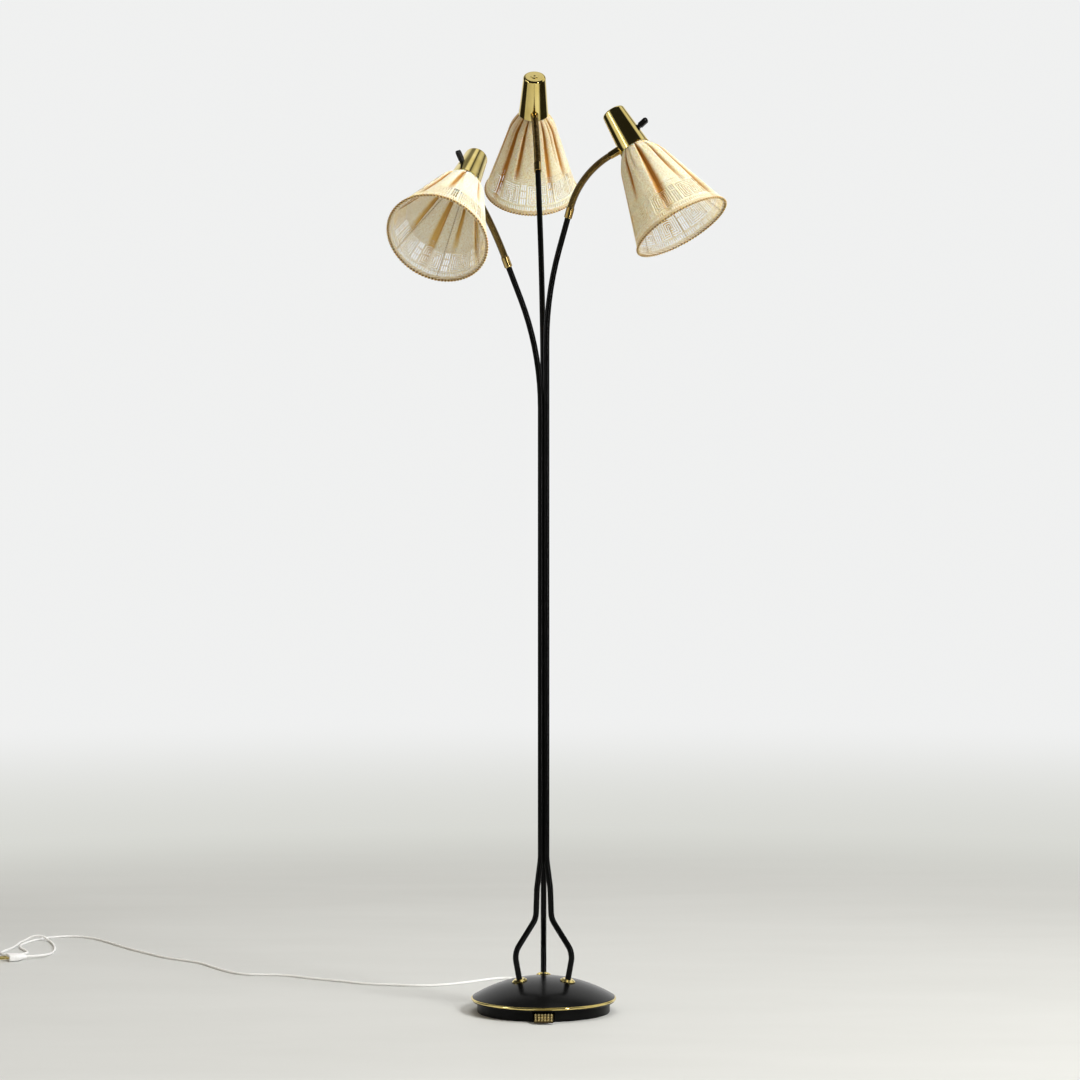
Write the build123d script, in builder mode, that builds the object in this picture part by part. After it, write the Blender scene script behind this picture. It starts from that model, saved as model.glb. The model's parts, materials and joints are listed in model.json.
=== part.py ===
from build123d import *
from math import asin, cos, degrees, pi, radians, sin, sqrt, tan
import os

# Tree floor lamp: a domed base, three black tubes that run up side by side and part into three arms,
# and on each arm a gooseneck with a brass cap, a toggle and a gathered cloth shade.
# Millimetres. The origin is the middle of the base on the floor, +Z is up and the pedal is at -Y.

# ---------------------------------------------------------------- driving dimensions
SLIP = 0.1              # gap between pieces that only lie against each other
THREAD_SLIP = 0.05      # radial gap of a threaded or sliding fit

# base
RIM_RADIUS = 125.0      # outside of the brass rim ring
RIM_BAND = 4.5          # height of the ring
RIM_DEPTH = 2.6         # how far the ring stands out from the dome's wall
RIM_HEIGHT = 23.0       # middle of the ring above the floor
DOME_APEX = 60.0
DOME_SHOULDER = 26.0    # height at which the dome turns down into its wall
DOME_SHEET = 1.5
LIP_WIDTH = 7.0         # turned-under lip
LIP_HEIGHT = 18.0       # underside of the lip
BAND_RADIUS = 114.0     # recessed foot band of the pan
BAND_TOP = 22.5
BAND_FOOT = 0.5         # the band stops this far above the floor
PAN_SHEET = 1.5
FELT_THICK = 2.0
FELT_RADIUS = 110.0
WEIGHT_RADIUS = 104.0
WEIGHT_BOTTOM = 24.0
WEIGHT_GAP = 1.0        # between the weight and the dome above it
BOSS_RADIUS = 9.0
BOSS_CIRCLE = 85.0
BOSS_COUNT = 4
SCREW_RADIUS = 2.5
SCREW_LENGTH = 18.0
SCREW_HEAD_RADIUS = 4.2
SCREW_HEAD = 1.6

# stem: three tubes, each a leg, a third of the stem and an arm
TUBE_RADIUS = 5.0
TUBE_WALL = 1.0
TUBE_GAP = 0.1
FOOT_CIRCLE = 47.4      # where the legs go into the dome
KNEE_HEIGHT = 104.0
NECK_IN_RADIUS = 15.3   # upper bend of the leg
NECK_IN_HEIGHT = 160.0
SHOULDER_RADIUS = 13.2
SHOULDER_HEIGHT = 212.0
BUNDLE_HEIGHT = 262.0   # the legs have come together here
KNEE_BEND = 32.0
NECK_IN_BEND = 32.0
SHOULDER_BEND = 110.0
BUNDLE_BEND = 90.0
ROSETTE_RADIUS = 13.0
ROSETTE_THICK = 4.0
WASHER_RADIUS = 10.0
WASHER_THICK = 1.5
NUT_FLATS = 15.0
NUT_THICK = 5.0
SEAT_DEPTH = 21.0       # from the dome's surface to the washer, along a leg
POCKET_RADIUS = 12.0
TUBE_STICKS_OUT = 2.0
LEAD_RADIUS = 1.6
LEAD_BEND = 3.5
LEAD_IN_PORT = 4.0

# foot pedal and its switch
PEDAL_WIDTH = 32.0
PEDAL_FRONT = 141.0     # distance of its front edge from the middle
PEDAL_BACK = 126.0
PEDAL_LOW = 5.0
PEDAL_HIGH = 15.5
TREAD_THICK = 2.0
STUD_COLUMNS = 6
STUD_ROWS = 3
STUD_HEIGHT = 1.8
LEVER_SHEET = 1.5
PLATE_SHORT = 4.0       # the lever's plate ends this far above the tread's lower edge
LEVER_WIDTH = 28.0
PIVOT_DISTANCE = 70.0
PIVOT_HEIGHT = 14.0
PIN_RADIUS = 2.0
BOSS_WALL = 2.5
EAR_THICK = 2.0
EAR_LENGTH = 12.0
WINDOW_WIDTH = 37.0
WINDOW_TOP = 19.0
SWITCH_DISTANCE = 96.0
SWITCH_WIDTH = 30.0
SWITCH_DEPTH = 24.0
SWITCH_TOP = 9.0
SWITCH_WALL = 1.2
PLUNGER_RADIUS = 2.5
PLUNGER_FLANGE = 3.4
PLUNGER_FLANGE_THICK = 1.2
PLUNGER_GAP = 0.15
SPRING_WALL = 0.6
TERMINAL_SIZE = (42.0, 15.0, 12.0)
TERMINAL_PORTS = 4
TERMINAL_ROWS = 7.0     # between the two rows of ports

# arms: direction seen from above, height where the bend starts, its radius, the lean of the end,
# and the straight end; then the gooseneck's bend and how the cap is turned on it
ARM_LEFT = {"name": "left", "leg": 210.0, "arm": 210.0, "start": 1036.5, "radius": 458.0,
            "lean": 24.0, "straight": 58.3, "sideways": 37.5, "bend": 21.1, "roll": 16.5}
ARM_RIGHT = {"name": "right", "leg": 330.0, "arm": 330.0, "start": 1148.7, "radius": 520.0,
             "lean": 17.8, "straight": 56.0, "sideways": 30.6, "bend": 43.6, "roll": -10.8}
ARM_BACK = {"name": "back", "leg": 90.0, "arm": 93.8, "start": 986.4, "radius": 804.0,
            "lean": 29.0, "straight": 99.7, "sideways": 0.5, "bend": 21.0, "roll": -1.1}
ARMS = [ARM_LEFT, ARM_RIGHT, ARM_BACK]

FERRULE_RADIUS = 6.9
FERRULE_LENGTH = 18.5
TUBE_IN_FERRULE = 8.0
RIBS_PER_LENGTH = 22    # ribs in each of the gooseneck's two lengths
RIB_PITCH = 2.56
RIB_RADIUS = 6.1
GROOVE_RADIUS = 5.2
HOSE_BORE = 3.4
SPIGOT_RADIUS = 4.5
SPIGOT_LENGTH = 8.0
SLEEVE_LENGTH = 17.0
SLEEVE_RADIUS_LOW = 6.6
SLEEVE_RADIUS_HIGH = 7.4
NIPPLE_RADIUS = 5.0
NIPPLE_LENGTH = 8.0
NUT_GAP = 1.6           # between the cap's round inside and the flat nut
NECK_NUT_FLATS = 14.0
NECK_NUT_THICK = 3.5

CAP_LENGTH = 77.0
CAP_TOP_RADIUS = 20.0
CAP_MOUTH_RADIUS = 27.0
CAP_SHEET = 1.0
CAP_ROUND = 4.0
CAP_NECK_HEIGHT = 11.5  # where the sleeve enters, above the cap's mouth
CAP_SLOT_HEIGHT = 6.5   # small slot near the mouth
CAP_SLOT = (3.0, 6.0)
EYELET_RADIUS = 7.0
EYELET_FLANGE = 1.2
EYELET_BARREL = 4.0
EYELET_BORE = 2.0
EYELET_GRIP = 6.0       # how far its barrel goes into the holder
HOLDER_TOP = 52.0
HOLDER_BODY_RADIUS = 17.0
HOLDER_BODY_BOTTOM = 14.0
SOCKET_RADIUS = 15.6
SOCKET_BOTTOM = -14.0
SOCKET_BORE = 13.3
SOCKET_DEPTH = 24.0
TOGGLE_HEIGHT = 27.0    # pivot, above the cap's mouth
TOGGLE_PIVOT = 13.0     # pivot, out from the cap's axis
TOGGLE_TILT = 12.0
TOGGLE_OUT = 20.0       # how far it stands out of the cap
TOGGLE_HIGH = 9.4
TOGGLE_WAIST = 6.6
TOGGLE_THICK = 6.4
TOGGLE_SHANK = 3.0      # narrow part that shows outside the cap
TOGGLE_HOLE = 1.1
TOGGLE_ROOM = 5.5       # behind the pivot, inside the holder
TRUNNION_RADIUS = 1.5
TRUNNION_LENGTH = 15.0

SHADE_LENGTH = 164.0    # from the cap's mouth to the rim, along the axis
SHADE_RIM_RADIUS = 85.8
SHADE_CLOTH = 1.2
PLEATS = 12
GATHER_RADIUS = 25.2    # crests of the gathered cloth inside the cap's mouth
GATHER_DEPTH = 2.4
PLEAT_DEPTH = 9.0       # below the cap; the pleats run out towards the rim
PLEAT_OPENS = 16.0      # drop over which they reach their full depth
PLEAT_SWELL = 9.0       # how far the cloth bulges beyond a plain cone
PLEAT_SWELL_DROP = 33.0
TUCK = 2.0              # how far the cloth reaches up into the cap
WIRE_RADIUS = 1.2       # rings of the shade's frame
RIB_WIRE_RADIUS = 0.8
FRAME_TOP_RADIUS = 20.0
FRAME_HEIGHT = 3.0      # frame's upper ring below the cap's mouth
RIB_COUNT = 6
HUB_WIDTH = 2.6
HUB_THICK = 2.0

# supply cord
CORD_RADIUS = 2.25
EXIT_HEIGHT = 10.0
GLAND_INSIDE = 8.0
GLAND_TAPER = 24.0
GLAND_RADIUS = 4.6
GLAND_GROOVE = 3.6      # where it sits in the pan's hole
GLAND_END_RADIUS = 3.2
PLUG_LENGTH = 36.0
PLUG_WIDTH = 35.0
PLUG_HEIGHT = 13.7
PLUG_TAIL = 8.0
PLUG_PIN_RADIUS = 2.0
PLUG_PIN_INSIDE = 8.0
PLUG_PIN_LENGTH = 19.0
PLUG_PIN_SPACING = 18.6

os.makedirs("parts", exist_ok=True)


def save(part, name):
    """Label one finished piece and write it."""
    part.label = name
    export_step(part, f"parts/{name}.step")


def polar(radius, azimuth, height):
    """A point at a radius, a direction seen from above in degrees, and a height."""
    return Vector(radius * cos(radians(azimuth)), radius * sin(radians(azimuth)), height)


# ---------------------------------------------------------------- base
wall_radius = RIM_RADIUS - RIM_DEPTH
rise = DOME_APEX - DOME_SHOULDER
sphere_radius = (wall_radius ** 2 + rise ** 2) / (2 * rise)
sphere_centre = DOME_APEX - sphere_radius


def sphere_height(radius, inset):
    """Height of the dome's sphere, taken in by inset, at a distance from the middle."""
    return sphere_centre + sqrt((sphere_radius - inset) ** 2 - radius ** 2)


foot_slope = degrees(asin(FOOT_CIRCLE / sphere_radius))


def foot_plane(azimuth):
    """Plane on the dome where a leg goes in: its origin on the dome, its Z along the leg."""
    origin = polar(FOOT_CIRCLE, azimuth, sphere_height(FOOT_CIRCLE, 0))
    outward = polar(sin(radians(foot_slope)), azimuth, cos(radians(foot_slope)))
    return Plane(origin=origin, x_dir=polar(1, azimuth + 90, 0), z_dir=outward)


leg_planes = {arm["name"]: foot_plane(arm["leg"]) for arm in ARMS}

with BuildPart() as base_dome:
    with BuildSketch(Plane.XZ) as profile:
        with BuildLine():
            middle = wall_radius / 2
            inner_wall = wall_radius - DOME_SHEET
            ThreePointArc((0, DOME_APEX), (middle, sphere_height(middle, 0)),
                          (wall_radius, DOME_SHOULDER))
            Polyline((wall_radius, DOME_SHOULDER), (wall_radius, LIP_HEIGHT),
                     (wall_radius - LIP_WIDTH, LIP_HEIGHT),
                     (wall_radius - LIP_WIDTH, LIP_HEIGHT + DOME_SHEET),
                     (inner_wall, LIP_HEIGHT + DOME_SHEET),
                     (inner_wall, sphere_height(inner_wall, DOME_SHEET)))
            ThreePointArc((inner_wall, sphere_height(inner_wall, DOME_SHEET)),
                          (middle, sphere_height(middle, DOME_SHEET)), (0, DOME_APEX - DOME_SHEET))
            Line((0, DOME_APEX - DOME_SHEET), (0, DOME_APEX))
        make_face()
        corners = profile.vertices()
        fillet(corners.sort_by_distance((wall_radius, LIP_HEIGHT))[0], DOME_SHEET)
    revolve(axis=Axis.Z)
    for plane in leg_planes.values():
        with BuildSketch(plane):
            Circle(TUBE_RADIUS + SLIP)
        extrude(amount=3 * DOME_SHEET, both=True, mode=Mode.SUBTRACT)
save(base_dome.part, "base_dome")

with BuildPart() as rim_ring:
    with BuildSketch(Plane.XZ):
        with BuildLine():
            low = RIM_HEIGHT - RIM_BAND / 2
            high = RIM_HEIGHT + RIM_BAND / 2
            inner = wall_radius + SLIP / 2
            edge = inner + RIM_DEPTH / 3
            Polyline((edge, low), (inner, low), (inner, high), (edge, high))
            ThreePointArc((edge, high), (RIM_RADIUS, RIM_HEIGHT), (edge, low))
        make_face()
    revolve(axis=Axis.Z)
save(rim_ring.part, "rim_ring")

pan_floor = FELT_THICK
pan_top = FELT_THICK + PAN_SHEET
boss_places = PolarLocations(BOSS_CIRCLE, BOSS_COUNT, start_angle=180 / BOSS_COUNT)
ear_inside = LEVER_WIDTH / 2 + 3 * SLIP
ear_outside = ear_inside + EAR_THICK

with BuildPart() as base_pan:
    with BuildSketch(Plane.XZ):
        with BuildLine():
            wall_in = BAND_RADIUS - PAN_SHEET
            Polyline((0, pan_floor), (wall_in, pan_floor), (wall_in, BAND_FOOT),
                     (BAND_RADIUS, BAND_FOOT), (BAND_RADIUS, BAND_TOP), (wall_in, BAND_TOP),
                     (wall_in, pan_top), (0, pan_top), close=True)
        make_face()
    revolve(axis=Axis.Z)
    # window for the pedal, at the front
    with BuildSketch(Plane.XY.offset(pan_top)):
        with Locations((0, -BAND_RADIUS)):
            Rectangle(WINDOW_WIDTH, 4 * PAN_SHEET + 2)
    extrude(amount=WINDOW_TOP - pan_top, mode=Mode.SUBTRACT)
    # hole for the cord, at the back
    with BuildSketch(Plane.XZ.offset(-BAND_RADIUS)):
        with Locations((0, EXIT_HEIGHT)):
            Circle(GLAND_GROOVE + SLIP)
    extrude(amount=3 * PAN_SHEET, both=True, mode=Mode.SUBTRACT)
    # two ears carry the pedal's pin
    for side in (-1, 1):
        with BuildSketch(Plane.YZ.offset(side * (ear_inside + ear_outside) / 2)):
            with Locations((-PIVOT_DISTANCE, (pan_top + PIVOT_HEIGHT) / 2)):
                Rectangle(EAR_LENGTH, PIVOT_HEIGHT - pan_top)
            with Locations((-PIVOT_DISTANCE, PIVOT_HEIGHT)):
                Circle(EAR_LENGTH / 2)
                Circle(PIN_RADIUS, mode=Mode.SUBTRACT)
        extrude(amount=EAR_THICK / 2, both=True)
    # screw holes
    with BuildSketch(Plane.XY.offset(pan_floor)):
        with boss_places:
            Circle(SCREW_RADIUS + SLIP)
    extrude(amount=PAN_SHEET, mode=Mode.SUBTRACT)
save(base_pan.part, "base_pan")

with BuildPart() as base_felt:
    with BuildSketch():
        Circle(FELT_RADIUS)
        with boss_places:
            Circle(SCREW_HEAD_RADIUS + 1, mode=Mode.SUBTRACT)
    extrude(amount=FELT_THICK)
save(base_felt.part, "base_felt")

with BuildPart() as base_weight:
    with BuildSketch(Plane.XZ):
        with BuildLine():
            skin = DOME_SHEET + WEIGHT_GAP
            middle = WEIGHT_RADIUS / 2
            edge_height = sphere_height(WEIGHT_RADIUS, skin)
            Polyline((0, sphere_height(0, skin)), (0, WEIGHT_BOTTOM), (WEIGHT_RADIUS, WEIGHT_BOTTOM),
                     (WEIGHT_RADIUS, edge_height))
            ThreePointArc((WEIGHT_RADIUS, edge_height), (middle, sphere_height(middle, skin)),
                          (0, sphere_height(0, skin)))
        make_face()
    revolve(axis=Axis.Z)
    # four feet reach down to the pan
    with BuildSketch(Plane.XY.offset(pan_top)):
        with boss_places:
            Circle(BOSS_RADIUS)
    extrude(amount=WEIGHT_BOTTOM - pan_top + 1)
    with BuildSketch(Plane.XY.offset(pan_top)):
        with boss_places:
            Circle(SCREW_RADIUS + THREAD_SLIP)
    extrude(amount=SCREW_LENGTH - PAN_SHEET + 2, mode=Mode.SUBTRACT)
    # a hole and a flat-bottomed pocket for each leg
    for plane in leg_planes.values():
        with BuildSketch(plane):
            Circle(TUBE_RADIUS + SLIP)
        extrude(amount=2 * WEIGHT_BOTTOM, both=True, mode=Mode.SUBTRACT)
        with BuildSketch(plane.offset(-SEAT_DEPTH)):
            Circle(POCKET_RADIUS)
        extrude(amount=-2 * POCKET_RADIUS, mode=Mode.SUBTRACT)
save(base_weight.part, "base_weight")

with BuildPart() as pan_screws:
    with BuildSketch(Plane.XY.offset(pan_floor - SCREW_HEAD)):
        with boss_places:
            Circle(SCREW_HEAD_RADIUS)
    extrude(amount=SCREW_HEAD)
    with BuildSketch(Plane.XY.offset(pan_floor - SCREW_HEAD)):
        with boss_places:
            Circle(SCREW_RADIUS)
    extrude(amount=SCREW_HEAD + SCREW_LENGTH)
    with BuildSketch(Plane.XY.offset(pan_floor - SCREW_HEAD)):
        with boss_places:
            Rectangle(2 * SCREW_HEAD_RADIUS, 1)
    extrude(amount=SCREW_HEAD / 2, mode=Mode.SUBTRACT)
save(pan_screws.part, "pan_screws")

# ---------------------------------------------------------------- feet of the three tubes
for name, plane in leg_planes.items():
    with BuildPart() as rosette:
        with BuildSketch(plane.offset(SLIP)):
            Circle(ROSETTE_RADIUS)
            Circle(TUBE_RADIUS + THREAD_SLIP, mode=Mode.SUBTRACT)
        extrude(amount=ROSETTE_THICK)
        top_rims = rosette.edges().filter_by(GeomType.CIRCLE).group_by(Axis(plane.origin, plane.z_dir))[-1]
        outer_top = top_rims.sort_by(SortBy.RADIUS)[-1]
        chamfer(outer_top, ROSETTE_THICK * 0.75, ROSETTE_THICK)
    save(rosette.part, f"rosette_{name}")

with BuildPart() as tube_washers:
    for plane in leg_planes.values():
        with BuildSketch(plane.offset(-SEAT_DEPTH)):
            Circle(WASHER_RADIUS)
            Circle(TUBE_RADIUS + THREAD_SLIP, mode=Mode.SUBTRACT)
        extrude(amount=-WASHER_THICK)
save(tube_washers.part, "tube_washers")

with BuildPart() as tube_nuts:
    for plane in leg_planes.values():
        with BuildSketch(plane.offset(-SEAT_DEPTH - WASHER_THICK)):
            RegularPolygon(NUT_FLATS / 2, 6, major_radius=False)
            Circle(TUBE_RADIUS + THREAD_SLIP, mode=Mode.SUBTRACT)
        extrude(amount=-NUT_THICK)
save(tube_nuts.part, "tube_nuts")

# ---------------------------------------------------------------- stem tubes and their leads
bundle_radius = (2 * TUBE_RADIUS + TUBE_GAP) / sqrt(3)
tube_end_depth = SEAT_DEPTH + WASHER_THICK + NUT_THICK + TUBE_STICKS_OUT


def arm_bend_corner(arm):
    """Where the upright part and the leaning end would meet, and the leaning direction."""
    tangent = arm["radius"] * tan(radians(arm["lean"]) / 2)
    corner = polar(bundle_radius, arm["leg"], arm["start"] + tangent)
    lean = radians(arm["lean"])
    direction = polar(sin(lean), arm["arm"], cos(lean))
    return corner, direction, tangent


def tube_points(arm):
    """Corners of a tube's route from its foot inside the base to its end in the ferrule."""
    plane = leg_planes[arm["name"]]
    knee_reach = (KNEE_HEIGHT - plane.origin.Z) / plane.z_dir.Z
    corner, direction, tangent = arm_bend_corner(arm)
    return [plane.origin - plane.z_dir * tube_end_depth,
            plane.origin + plane.z_dir * knee_reach,
            polar(NECK_IN_RADIUS, arm["leg"], NECK_IN_HEIGHT),
            polar(SHOULDER_RADIUS, arm["leg"], SHOULDER_HEIGHT),
            polar(bundle_radius, arm["leg"], BUNDLE_HEIGHT),
            corner,
            corner + direction * (tangent + arm["straight"] + TUBE_IN_FERRULE)]


tube_bends = [KNEE_BEND, NECK_IN_BEND, SHOULDER_BEND, BUNDLE_BEND]

for arm in ARMS:
    with BuildPart() as stem_tube:
        with BuildLine() as route:
            FilletPolyline(*tube_points(arm), radius=tube_bends + [arm["radius"]])
        with BuildSketch(Plane(origin=route.line @ 0, z_dir=route.line % 0)):
            Circle(TUBE_RADIUS)
            Circle(TUBE_RADIUS - TUBE_WALL, mode=Mode.SUBTRACT)
        sweep()
    save(stem_tube.part, f"stem_tube_{arm['name']}")

terminal_top = pan_top + TERMINAL_SIZE[2]
port_pitch = TERMINAL_SIZE[0] / TERMINAL_PORTS
lead_ports = {"left": (-1.5 * port_pitch, -TERMINAL_ROWS / 2),
              "right": (1.5 * port_pitch, -TERMINAL_ROWS / 2),
              "back": (0.5 * port_pitch, TERMINAL_ROWS / 2)}
lead_height = (terminal_top + WEIGHT_BOTTOM) / 2

with BuildPart() as stem_leads:
    for arm in ARMS:
        points = tube_points(arm)
        way = leg_planes[arm["name"]].z_dir
        under_tube = points[0] - way * ((points[0].Z - lead_height) / way.Z)
        port_x, port_y = lead_ports[arm["name"]]
        with BuildLine() as route:
            FilletPolyline((port_x, port_y, terminal_top - LEAD_IN_PORT), (port_x, port_y, lead_height),
                           under_tube, *points[1:], radius=[LEAD_BEND] * 2 + tube_bends + [arm["radius"]])
        with BuildSketch(Plane(origin=route.line @ 0, z_dir=route.line % 0)):
            Circle(LEAD_RADIUS)
        sweep()
save(stem_leads.part, "stem_leads")

with BuildPart() as terminal_block:
    with BuildSketch(Plane.XY.offset(pan_top)):
        Rectangle(TERMINAL_SIZE[0], TERMINAL_SIZE[1])
    extrude(amount=TERMINAL_SIZE[2])
    chamfer(terminal_block.edges().filter_by(Axis.X).group_by(Axis.Z)[-1], 1.5)
    with BuildSketch(Plane.XY.offset(terminal_top)):
        with GridLocations(port_pitch, TERMINAL_ROWS, TERMINAL_PORTS, 2):
            Circle(LEAD_RADIUS + 2 * SLIP)
    extrude(amount=-LEAD_IN_PORT - SLIP, mode=Mode.SUBTRACT)
save(terminal_block.part, "terminal_block")

# ---------------------------------------------------------------- foot pedal
slope_run = PEDAL_FRONT - PEDAL_BACK
slope_rise = PEDAL_HIGH - PEDAL_LOW
slope_length = sqrt(slope_run ** 2 + slope_rise ** 2)
tread_centre = Vector(0, -(PEDAL_FRONT + PEDAL_BACK) / 2, (PEDAL_LOW + PEDAL_HIGH) / 2)
uphill = Vector(0, slope_run, slope_rise).normalized()
tread_normal = Vector(1, 0, 0).cross(uphill)
tread_face = Plane(origin=tread_centre, x_dir=(1, 0, 0), z_dir=tread_normal)

with BuildPart() as pedal_tread:
    with BuildSketch(tread_face):
        Rectangle(PEDAL_WIDTH, slope_length)
    extrude(amount=-TREAD_THICK)
    stud_pitch_x = PEDAL_WIDTH / STUD_COLUMNS
    stud_pitch_y = slope_length / STUD_ROWS
    with BuildSketch(tread_face):
        with GridLocations(stud_pitch_x, stud_pitch_y, STUD_COLUMNS, STUD_ROWS):
            Rectangle(stud_pitch_x * 0.9, stud_pitch_y * 0.9)
    extrude(amount=STUD_HEIGHT, taper=40)
save(pedal_tread.part, "pedal_tread")

lever_top = PIVOT_HEIGHT - PIN_RADIUS / 2
lever_line = lever_top - LEVER_SHEET

with BuildPart() as pedal_lever:
    with BuildSketch(Plane.YZ) as lever_side:
        # flat arm over the switch, then the plate under the tread
        under = tread_face.offset(-TREAD_THICK - SLIP).origin
        plate_top = under + uphill * (slope_length / 2)
        plate_low = under - uphill * (slope_length / 2 - PLATE_SHORT)
        drop = tread_normal * LEVER_SHEET
        with BuildLine():
            Polyline((-PIVOT_DISTANCE, lever_top), (plate_top.Y, lever_top),
                     (plate_top.Y, plate_top.Z), (plate_low.Y, plate_low.Z),
                     (plate_low.Y - drop.Y, plate_low.Z - drop.Z),
                     (plate_top.Y - drop.Y, lever_line), (-PIVOT_DISTANCE, lever_line), close=True)
        make_face()
        with Locations((-PIVOT_DISTANCE, PIVOT_HEIGHT)):
            Circle(PIN_RADIUS + BOSS_WALL)
            Circle(PIN_RADIUS + THREAD_SLIP, mode=Mode.SUBTRACT)
    extrude(amount=LEVER_WIDTH / 2, both=True)
save(pedal_lever.part, "pedal_lever")

with BuildPart() as pedal_pin:
    with BuildSketch(Plane.YZ.offset(-ear_outside - 1)):
        with Locations((-PIVOT_DISTANCE, PIVOT_HEIGHT)):
            Circle(PIN_RADIUS)
    extrude(amount=2 * (ear_outside + 1))
    chamfer(pedal_pin.edges().filter_by(GeomType.CIRCLE), 0.4)
save(pedal_pin.part, "pedal_pin")

plunger_top = lever_line - PLUNGER_GAP
flange_top = SWITCH_TOP - SWITCH_WALL - SLIP
flange_bottom = flange_top - PLUNGER_FLANGE_THICK

with BuildPart() as switch_housing:
    with BuildSketch(Plane.XY.offset(pan_top)):
        with Locations((0, -SWITCH_DISTANCE)):
            RectangleRounded(SWITCH_WIDTH, SWITCH_DEPTH, 2)
    extrude(amount=SWITCH_TOP - pan_top)
    with BuildSketch(Plane.XY.offset(pan_top + SWITCH_WALL)):
        with Locations((0, -SWITCH_DISTANCE)):
            Circle(PLUNGER_FLANGE + THREAD_SLIP)
    extrude(amount=SWITCH_TOP - pan_top - 2 * SWITCH_WALL, mode=Mode.SUBTRACT)
    with BuildSketch(Plane.XY.offset(SWITCH_TOP)):
        with Locations((0, -SWITCH_DISTANCE)):
            Circle(PLUNGER_RADIUS + THREAD_SLIP)
    extrude(amount=-2 * SWITCH_WALL, mode=Mode.SUBTRACT)
save(switch_housing.part, "switch_housing")

with BuildPart() as switch_plunger:
    with BuildSketch(Plane.XY.offset(flange_bottom)):
        with Locations((0, -SWITCH_DISTANCE)):
            Circle(PLUNGER_FLANGE)
    extrude(amount=PLUNGER_FLANGE_THICK)
    with BuildSketch(Plane.XY.offset(flange_bottom)):
        with Locations((0, -SWITCH_DISTANCE)):
            Circle(PLUNGER_RADIUS)
    extrude(amount=plunger_top - flange_bottom)
    top_edge = switch_plunger.edges().filter_by(GeomType.CIRCLE).sort_by(Axis.Z)[-1]
    fillet(top_edge, PLUNGER_RADIUS * 0.7)
save(switch_plunger.part, "switch_plunger")

with BuildPart() as switch_spring:
    with BuildSketch(Plane.XY.offset(pan_top + SWITCH_WALL)):
        with Locations((0, -SWITCH_DISTANCE)):
            Circle(PLUNGER_FLANGE - SLIP)
            Circle(PLUNGER_FLANGE - SLIP - SPRING_WALL, mode=Mode.SUBTRACT)
    extrude(amount=flange_bottom - pan_top - SWITCH_WALL)
save(switch_spring.part, "switch_spring")

# ---------------------------------------------------------------- heads
neck_length = 2 * RIBS_PER_LENGTH * RIB_PITCH
DOWN = Vector(0, 0, -1)


def head_frame(arm):
    """Planes of one head: the ferrule, the gooseneck along its arc, the sleeve and the cap."""
    corner, lean, tangent = arm_bend_corner(arm)
    tube_stop = corner + lean * (tangent + arm["straight"])
    outward = polar(1, arm["arm"], 0)
    aside = lean.cross(outward).normalized()
    forward = aside.cross(lean)
    sideways = radians(arm["sideways"])
    towards = forward * cos(sideways) + aside * sin(sideways)
    hinge = lean.cross(towards)
    neck_start = tube_stop + lean * FERRULE_LENGTH
    bend_radius = neck_length / radians(arm["bend"])

    def neck_plane(along):
        """Cross-section of the gooseneck at a distance along it; X stays on the bend's axis."""
        turn = along / bend_radius
        place = neck_start + lean * (bend_radius * sin(turn)) + towards * (bend_radius * (1 - cos(turn)))
        return Plane(origin=place, x_dir=hinge, z_dir=lean * cos(turn) + towards * sin(turn))

    neck_end = neck_plane(neck_length)
    into_cap = neck_end.z_dir
    wall = neck_end.origin + into_cap * SLEEVE_LENGTH
    fall = (DOWN - into_cap * DOWN.dot(into_cap)).normalized()
    opening = fall.rotate(Axis((0, 0, 0), into_cap), arm["roll"])
    mouth = wall + into_cap * cap_radius(CAP_NECK_HEIGHT) + opening * CAP_NECK_HEIGHT
    return {"tube_stop": Plane(origin=tube_stop, x_dir=hinge, z_dir=lean),
            "neck": neck_plane,
            "cap": Plane(origin=mouth, x_dir=into_cap, z_dir=opening * -1),
            "section": Plane(origin=mouth, x_dir=into_cap, z_dir=opening.cross(into_cap))}


def cap_radius(height):
    """Outside radius of the cap's cone at a height above its mouth."""
    return CAP_MOUTH_RADIUS + (CAP_TOP_RADIUS - CAP_MOUTH_RADIUS) * height / CAP_LENGTH


def ribbed_length(neck_plane, first_rib, spigot_plane, spigot_way):
    """One half of the gooseneck: its ribs, a spigot for the sleeve or ferrule, and the bore."""
    start = first_rib * RIB_PITCH
    end = start + RIBS_PER_LENGTH * RIB_PITCH
    with BuildPart() as hose:
        for rib in range(RIBS_PER_LENGTH):
            for share, radius in ((0.0, GROOVE_RADIUS), (0.2, RIB_RADIUS), (0.6, RIB_RADIUS),
                                  (0.8, GROOVE_RADIUS)):
                with BuildSketch(neck_plane(start + (rib + share) * RIB_PITCH)):
                    Circle(radius)
        with BuildSketch(neck_plane(end)):
            Circle(GROOVE_RADIUS)
        loft(ruled=True)
        with BuildSketch(spigot_plane):
            Circle(SPIGOT_RADIUS)
        extrude(amount=spigot_way * SPIGOT_LENGTH)
        with BuildLine() as bore_line:
            ThreePointArc(neck_plane(start).origin, neck_plane((start + end) / 2).origin,
                          neck_plane(end).origin)
        with BuildSketch(neck_plane(start)):
            Circle(HOSE_BORE)
        sweep(path=bore_line.line, mode=Mode.SUBTRACT)
        with BuildSketch(spigot_plane):
            Circle(HOSE_BORE)
        extrude(amount=spigot_way * SPIGOT_LENGTH, mode=Mode.SUBTRACT)
    return hose.part


def cone_profile(inset, top):
    """Half outline of the cap's cone, taken in by inset, closed on the axis."""
    return [(0, 0), (CAP_MOUTH_RADIUS - inset, 0), (cap_radius(top) - inset, top), (0, top)]


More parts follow.
